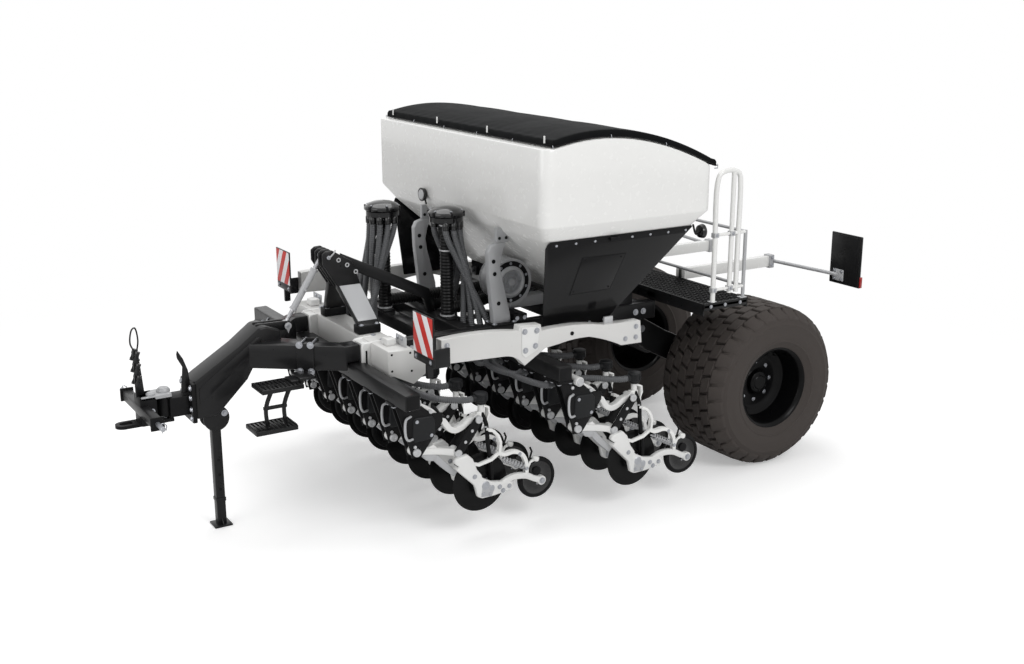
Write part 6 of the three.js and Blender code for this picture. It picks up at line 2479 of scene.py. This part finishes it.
@dataclass
class RearLightFrame:
    """The two arms behind the deck with the rear marker panels and lamps."""

    arm_x: float = 0.422
    start: float = -0.3597
    panel_y: float = 0.798
    end: float = 0.828
    outer: float = 1.421
    base: float = FRAME_TOP

    def build(self) -> None:
        """Build the frame as one piece."""
        z, x = self.base + 0.15, self.arm_x
        shape = Shape().block(BLACK_COAT, (-x, x), (self.start, self.start + 0.015), (1.48, 1.54), 0.004)
        own = Shape().block(WHITE_COAT, about(x, 0.03), (self.start, 0.7), (z - 0.07, z + 0.03), 0.009)
        own.block(WHITE_COAT, about(x, 0.06), (self.start, self.start + 0.015), (1.48, z + 0.03), 0.004)
        own.bolts([(x + dx, self.start + 0.015, h) for dx in (-0.045, 0.045) for h in (1.50, 1.61)],
                  BACK, 0.018)
        own.block(GREY_ENAMEL_AND_PAINTED_REFLECTION, about(x, 0.042), (0.655, 0.712), (z - 0.082, z + 0.04), 0.006)
        own.bolts([(x + 0.042, 0.684, z + dz) for dz in (-0.055, 0.015)], LEFT, 0.02)
        own.rod(GREY_ENAMEL_AND_PAINTED_REFLECTION, (0.38, 0.70, z - 0.02), (1.17, 0.795, z - 0.02), 0.016, 20)
        inner = self.outer - 0.35
        own.block(BLACK_COAT, (inner, self.outer), (self.panel_y, self.end - 0.012), (1.50, 1.95), 0.006)
        own.block(MARKER_SHEET, (inner + 0.006, self.outer - 0.006), (self.end - 0.013, self.end - 0.010),
                  (1.615, 1.944), 0.0005)
        own.block(BLACK_COAT, (inner + 0.012, self.outer - 0.012),
                  (self.panel_y - 0.004, self.panel_y + 0.01), (1.515, 1.935), 0.003)
        own.block(LAMP_RED, (self.outer - 0.004, self.outer + 0.01),
                  (self.panel_y + 0.003, self.end - 0.002), (1.505, 1.60), 0.003)
        for lamp_x in (inner + 0.09, inner + 0.25):
            own.lathe(LAMP_RED, [(0, 0), (0.046, 0), (0.046, 0.006), (0.036, 0.011), (0, 0.012)],
                      (lamp_x, self.end - 0.0125, 1.557), BACK, 28)
        own.block(GREY_ENAMEL_AND_PAINTED_REFLECTION, (inner + 0.05, inner + 0.17), (self.panel_y - 0.012, self.panel_y + 0.002),
                  (z - 0.07, z + 0.03), 0.004)
        own.bolts([(inner + dx, self.panel_y - 0.012, z + dz) for dx in (0.07, 0.15)
                   for dz in (-0.055, 0.015)], AHEAD, 0.016)
        shape.join(own.pair())
        shape.piece("rear_light_arms", ROOT, "white_paint", "rear_light_frame")


# ------------------------------------------------------------------------------ studio
@dataclass
class Studio:
    """A pale floor, soft light from all round and the camera."""

    eye: tuple = (8.8155, -5.0678, 4.0057)
    azimuth: float = 58.397
    dip: float = 15.367
    lens: float = 44.05
    floor_tone: str = "f4f4f4"
    ambient: float = 0.5
    floor_glow: float = 0.34
    fade: tuple = (4.0, 8.0)

    def camera(self) -> None:
        """Place the camera."""
        az, dip = math.radians(self.azimuth), math.radians(self.dip)
        back = Vector((math.sin(az) * math.cos(dip), -math.cos(az) * math.cos(dip), math.sin(dip)))
        data = bpy.data.cameras.new("camera")
        data.sensor_width, data.lens, data.clip_end = 36.0, self.lens, 200.0
        camera = bpy.data.objects.new("camera", data)
        turn = back.to_track_quat("Z", "Y").to_matrix().to_4x4()
        camera.matrix_world = Matrix.Translation(self.eye) @ turn
        bpy.context.scene.collection.objects.link(camera)
        bpy.context.scene.camera = camera

    def white_to_the_eye(self, tree: bpy.types.NodeTree) -> bpy.types.NodeSocket:
        """Sort out the rays from the camera and those that a mirror or glass sends on.

        Args:
            tree: The world's tree.

        Returns:
            A socket that gives 1 for such rays and 0 for others.
        """
        path = add_node(tree, "ShaderNodeLightPath")
        seen = path.outputs["Is Camera Ray"]
        for other in ("Is Glossy Ray", "Is Transmission Ray"):
            seen = math_node(tree, "MAXIMUM", seen, path.outputs[other])
        return seen

    def world(self) -> None:
        """Light the scene evenly, with white behind everything."""
        world = bpy.data.worlds.new("studio")
        world.use_nodes = True
        tree = world.node_tree
        tree.nodes.clear()
        lit = add_node(tree, "ShaderNodeBackground", inputs={"Color": (1, 1, 1, 1),
                                                             "Strength": self.ambient})
        seen = add_node(tree, "ShaderNodeBackground", inputs={"Color": (1, 1, 1, 1), "Strength": 1.0})
        mixed = add_node(tree, "ShaderNodeMixShader", inputs={
            0: self.white_to_the_eye(tree), 1: lit.outputs[0], 2: seen.outputs[0]})
        add_node(tree, "ShaderNodeOutputWorld", inputs={"Surface": mixed.outputs[0]})
        bpy.context.scene.world = world

    def floor(self) -> None:
        """Lay the floor, pale enough to run into the background but keeping the shadow."""
        mesh = bpy.data.meshes.new("floor")
        r = 40.0
        mesh.from_pydata([(-r, -r, -0.0015), (r, -r, -0.0015), (r, r, -0.0015), (-r, r, -0.0015)], [],
                         [(0, 1, 2, 3)])
        material = bpy.data.materials.new("floor_paint")
        material.use_nodes = True
        tree = material.node_tree
        tree.nodes.clear()
        paint = add_node(tree, "ShaderNodeBsdfDiffuse", inputs={"Color": linear(self.floor_tone)})
        glow = add_node(tree, "ShaderNodeEmission", inputs={"Color": (1, 1, 1, 1),
                                                            "Strength": self.floor_glow})
        both = add_node(tree, "ShaderNodeAddShader", inputs={0: paint.outputs[0], 1: glow.outputs[0]})
        place = add_node(tree, "ShaderNodeTexCoord").outputs["Object"]
        reach = add_node(tree, "ShaderNodeVectorMath", {"operation": "LENGTH"}, {0: place}).outputs["Value"]
        fade = add_node(tree, "ShaderNodeMapRange", {"interpolation_type": "SMOOTHSTEP"}, {
            "Value": reach, "From Min": self.fade[0], "From Max": self.fade[1]}).outputs["Result"]
        white = add_node(tree, "ShaderNodeEmission", inputs={"Color": (1, 1, 1, 1), "Strength": 1.0})
        near = add_node(tree, "ShaderNodeMixShader", inputs={0: fade, 1: both.outputs[0],
                                                             2: white.outputs[0]})
        mixed = add_node(tree, "ShaderNodeMixShader", inputs={
            0: add_node(tree, "ShaderNodeLightPath").outputs["Is Camera Ray"], 1: paint.outputs[0],
            2: near.outputs[0]})
        add_node(tree, "ShaderNodeOutputMaterial", inputs={"Surface": mixed.outputs[0]})
        mesh.materials.append(material)
        floor = bpy.data.objects.new("floor", mesh)
        bpy.context.scene.collection.objects.link(floor)

    def lamp(self, name: str, place: Point, target: Point, size: float, watts: float) -> None:
        """Add a soft square lamp.

        Args:
            name: Its name.
            place: Where it hangs.
            target: The point it faces.
            size: Its width.
            watts: Its power.
        """
        data = bpy.data.lights.new(name, "AREA")
        data.shape, data.size, data.energy = "SQUARE", size, watts
        lamp = bpy.data.objects.new(name, data)
        aim = (Vector(place) - Vector(target)).to_track_quat("Z", "Y").to_matrix().to_4x4()
        lamp.matrix_world = Matrix.Translation(place) @ aim
        bpy.context.scene.collection.objects.link(lamp)

    def build(self) -> None:
        """Build camera, floor and lights."""
        bpy.context.scene.view_settings.view_transform = "Standard"
        self.camera()
        self.world()
        self.floor()
        self.lamp("key", (9.0, 1.0, 7.0), (0, 0, 1.2), 4.0, 330)
        self.lamp("fill", (2.0, -10.0, 5.0), (0, 0, 1.2), 6.0, 190)
        self.lamp("top", (-2.0, 0.5, 10.0), (0, 0, 1.2), 7.0, 400)


# ------------------------------------------------------------------------------ assembly
def main() -> None:
    """Build the studio and the machine, in order."""
    logging.basicConfig(level=logging.INFO, format="%(message)s")
    Studio().build()
    SeedHoses(1, disc_y=REAR_DISC_Y, first=7.5 * ROW_PITCH).build()
    SeedHoses(-1, disc_y=FRONT_DISC_Y, first=6.5 * ROW_PITCH).build()
    Hopper().build()
    cover = TarpCover()
    cover.build()
    cover.lacing()
    MainFrame().build()
    AxleFrame().build()
    for side in SIDES:
        FlotationWheel(side).build()
        SideBeam(side).build()
        SidePanel(side).build()
        MarkerPanel(side).build()
    Rank("front", FRONT_DISC_Y, 0.5 * ROW_PITCH, -1.5 * ROW_PITCH, extras=FrontBeam().shape()).build()
    Rank("rear", REAR_DISC_Y, 1.5 * ROW_PITCH, -0.5 * ROW_PITCH).build()
    Blower().build()
    DistributionHead(1, duct_x=0.12).build()
    DistributionHead(-1, duct_x=-0.25).build()
    Drawbar().build()
    HitchYoke().build()
    ParkingLeg().build()
    TopLink().build()
    Mast().build()
    FrontSteps().build()
    Walkway().build()
    Ladder().build()
    RearLightFrame().build()


if __name__ == "__main__":
    main()
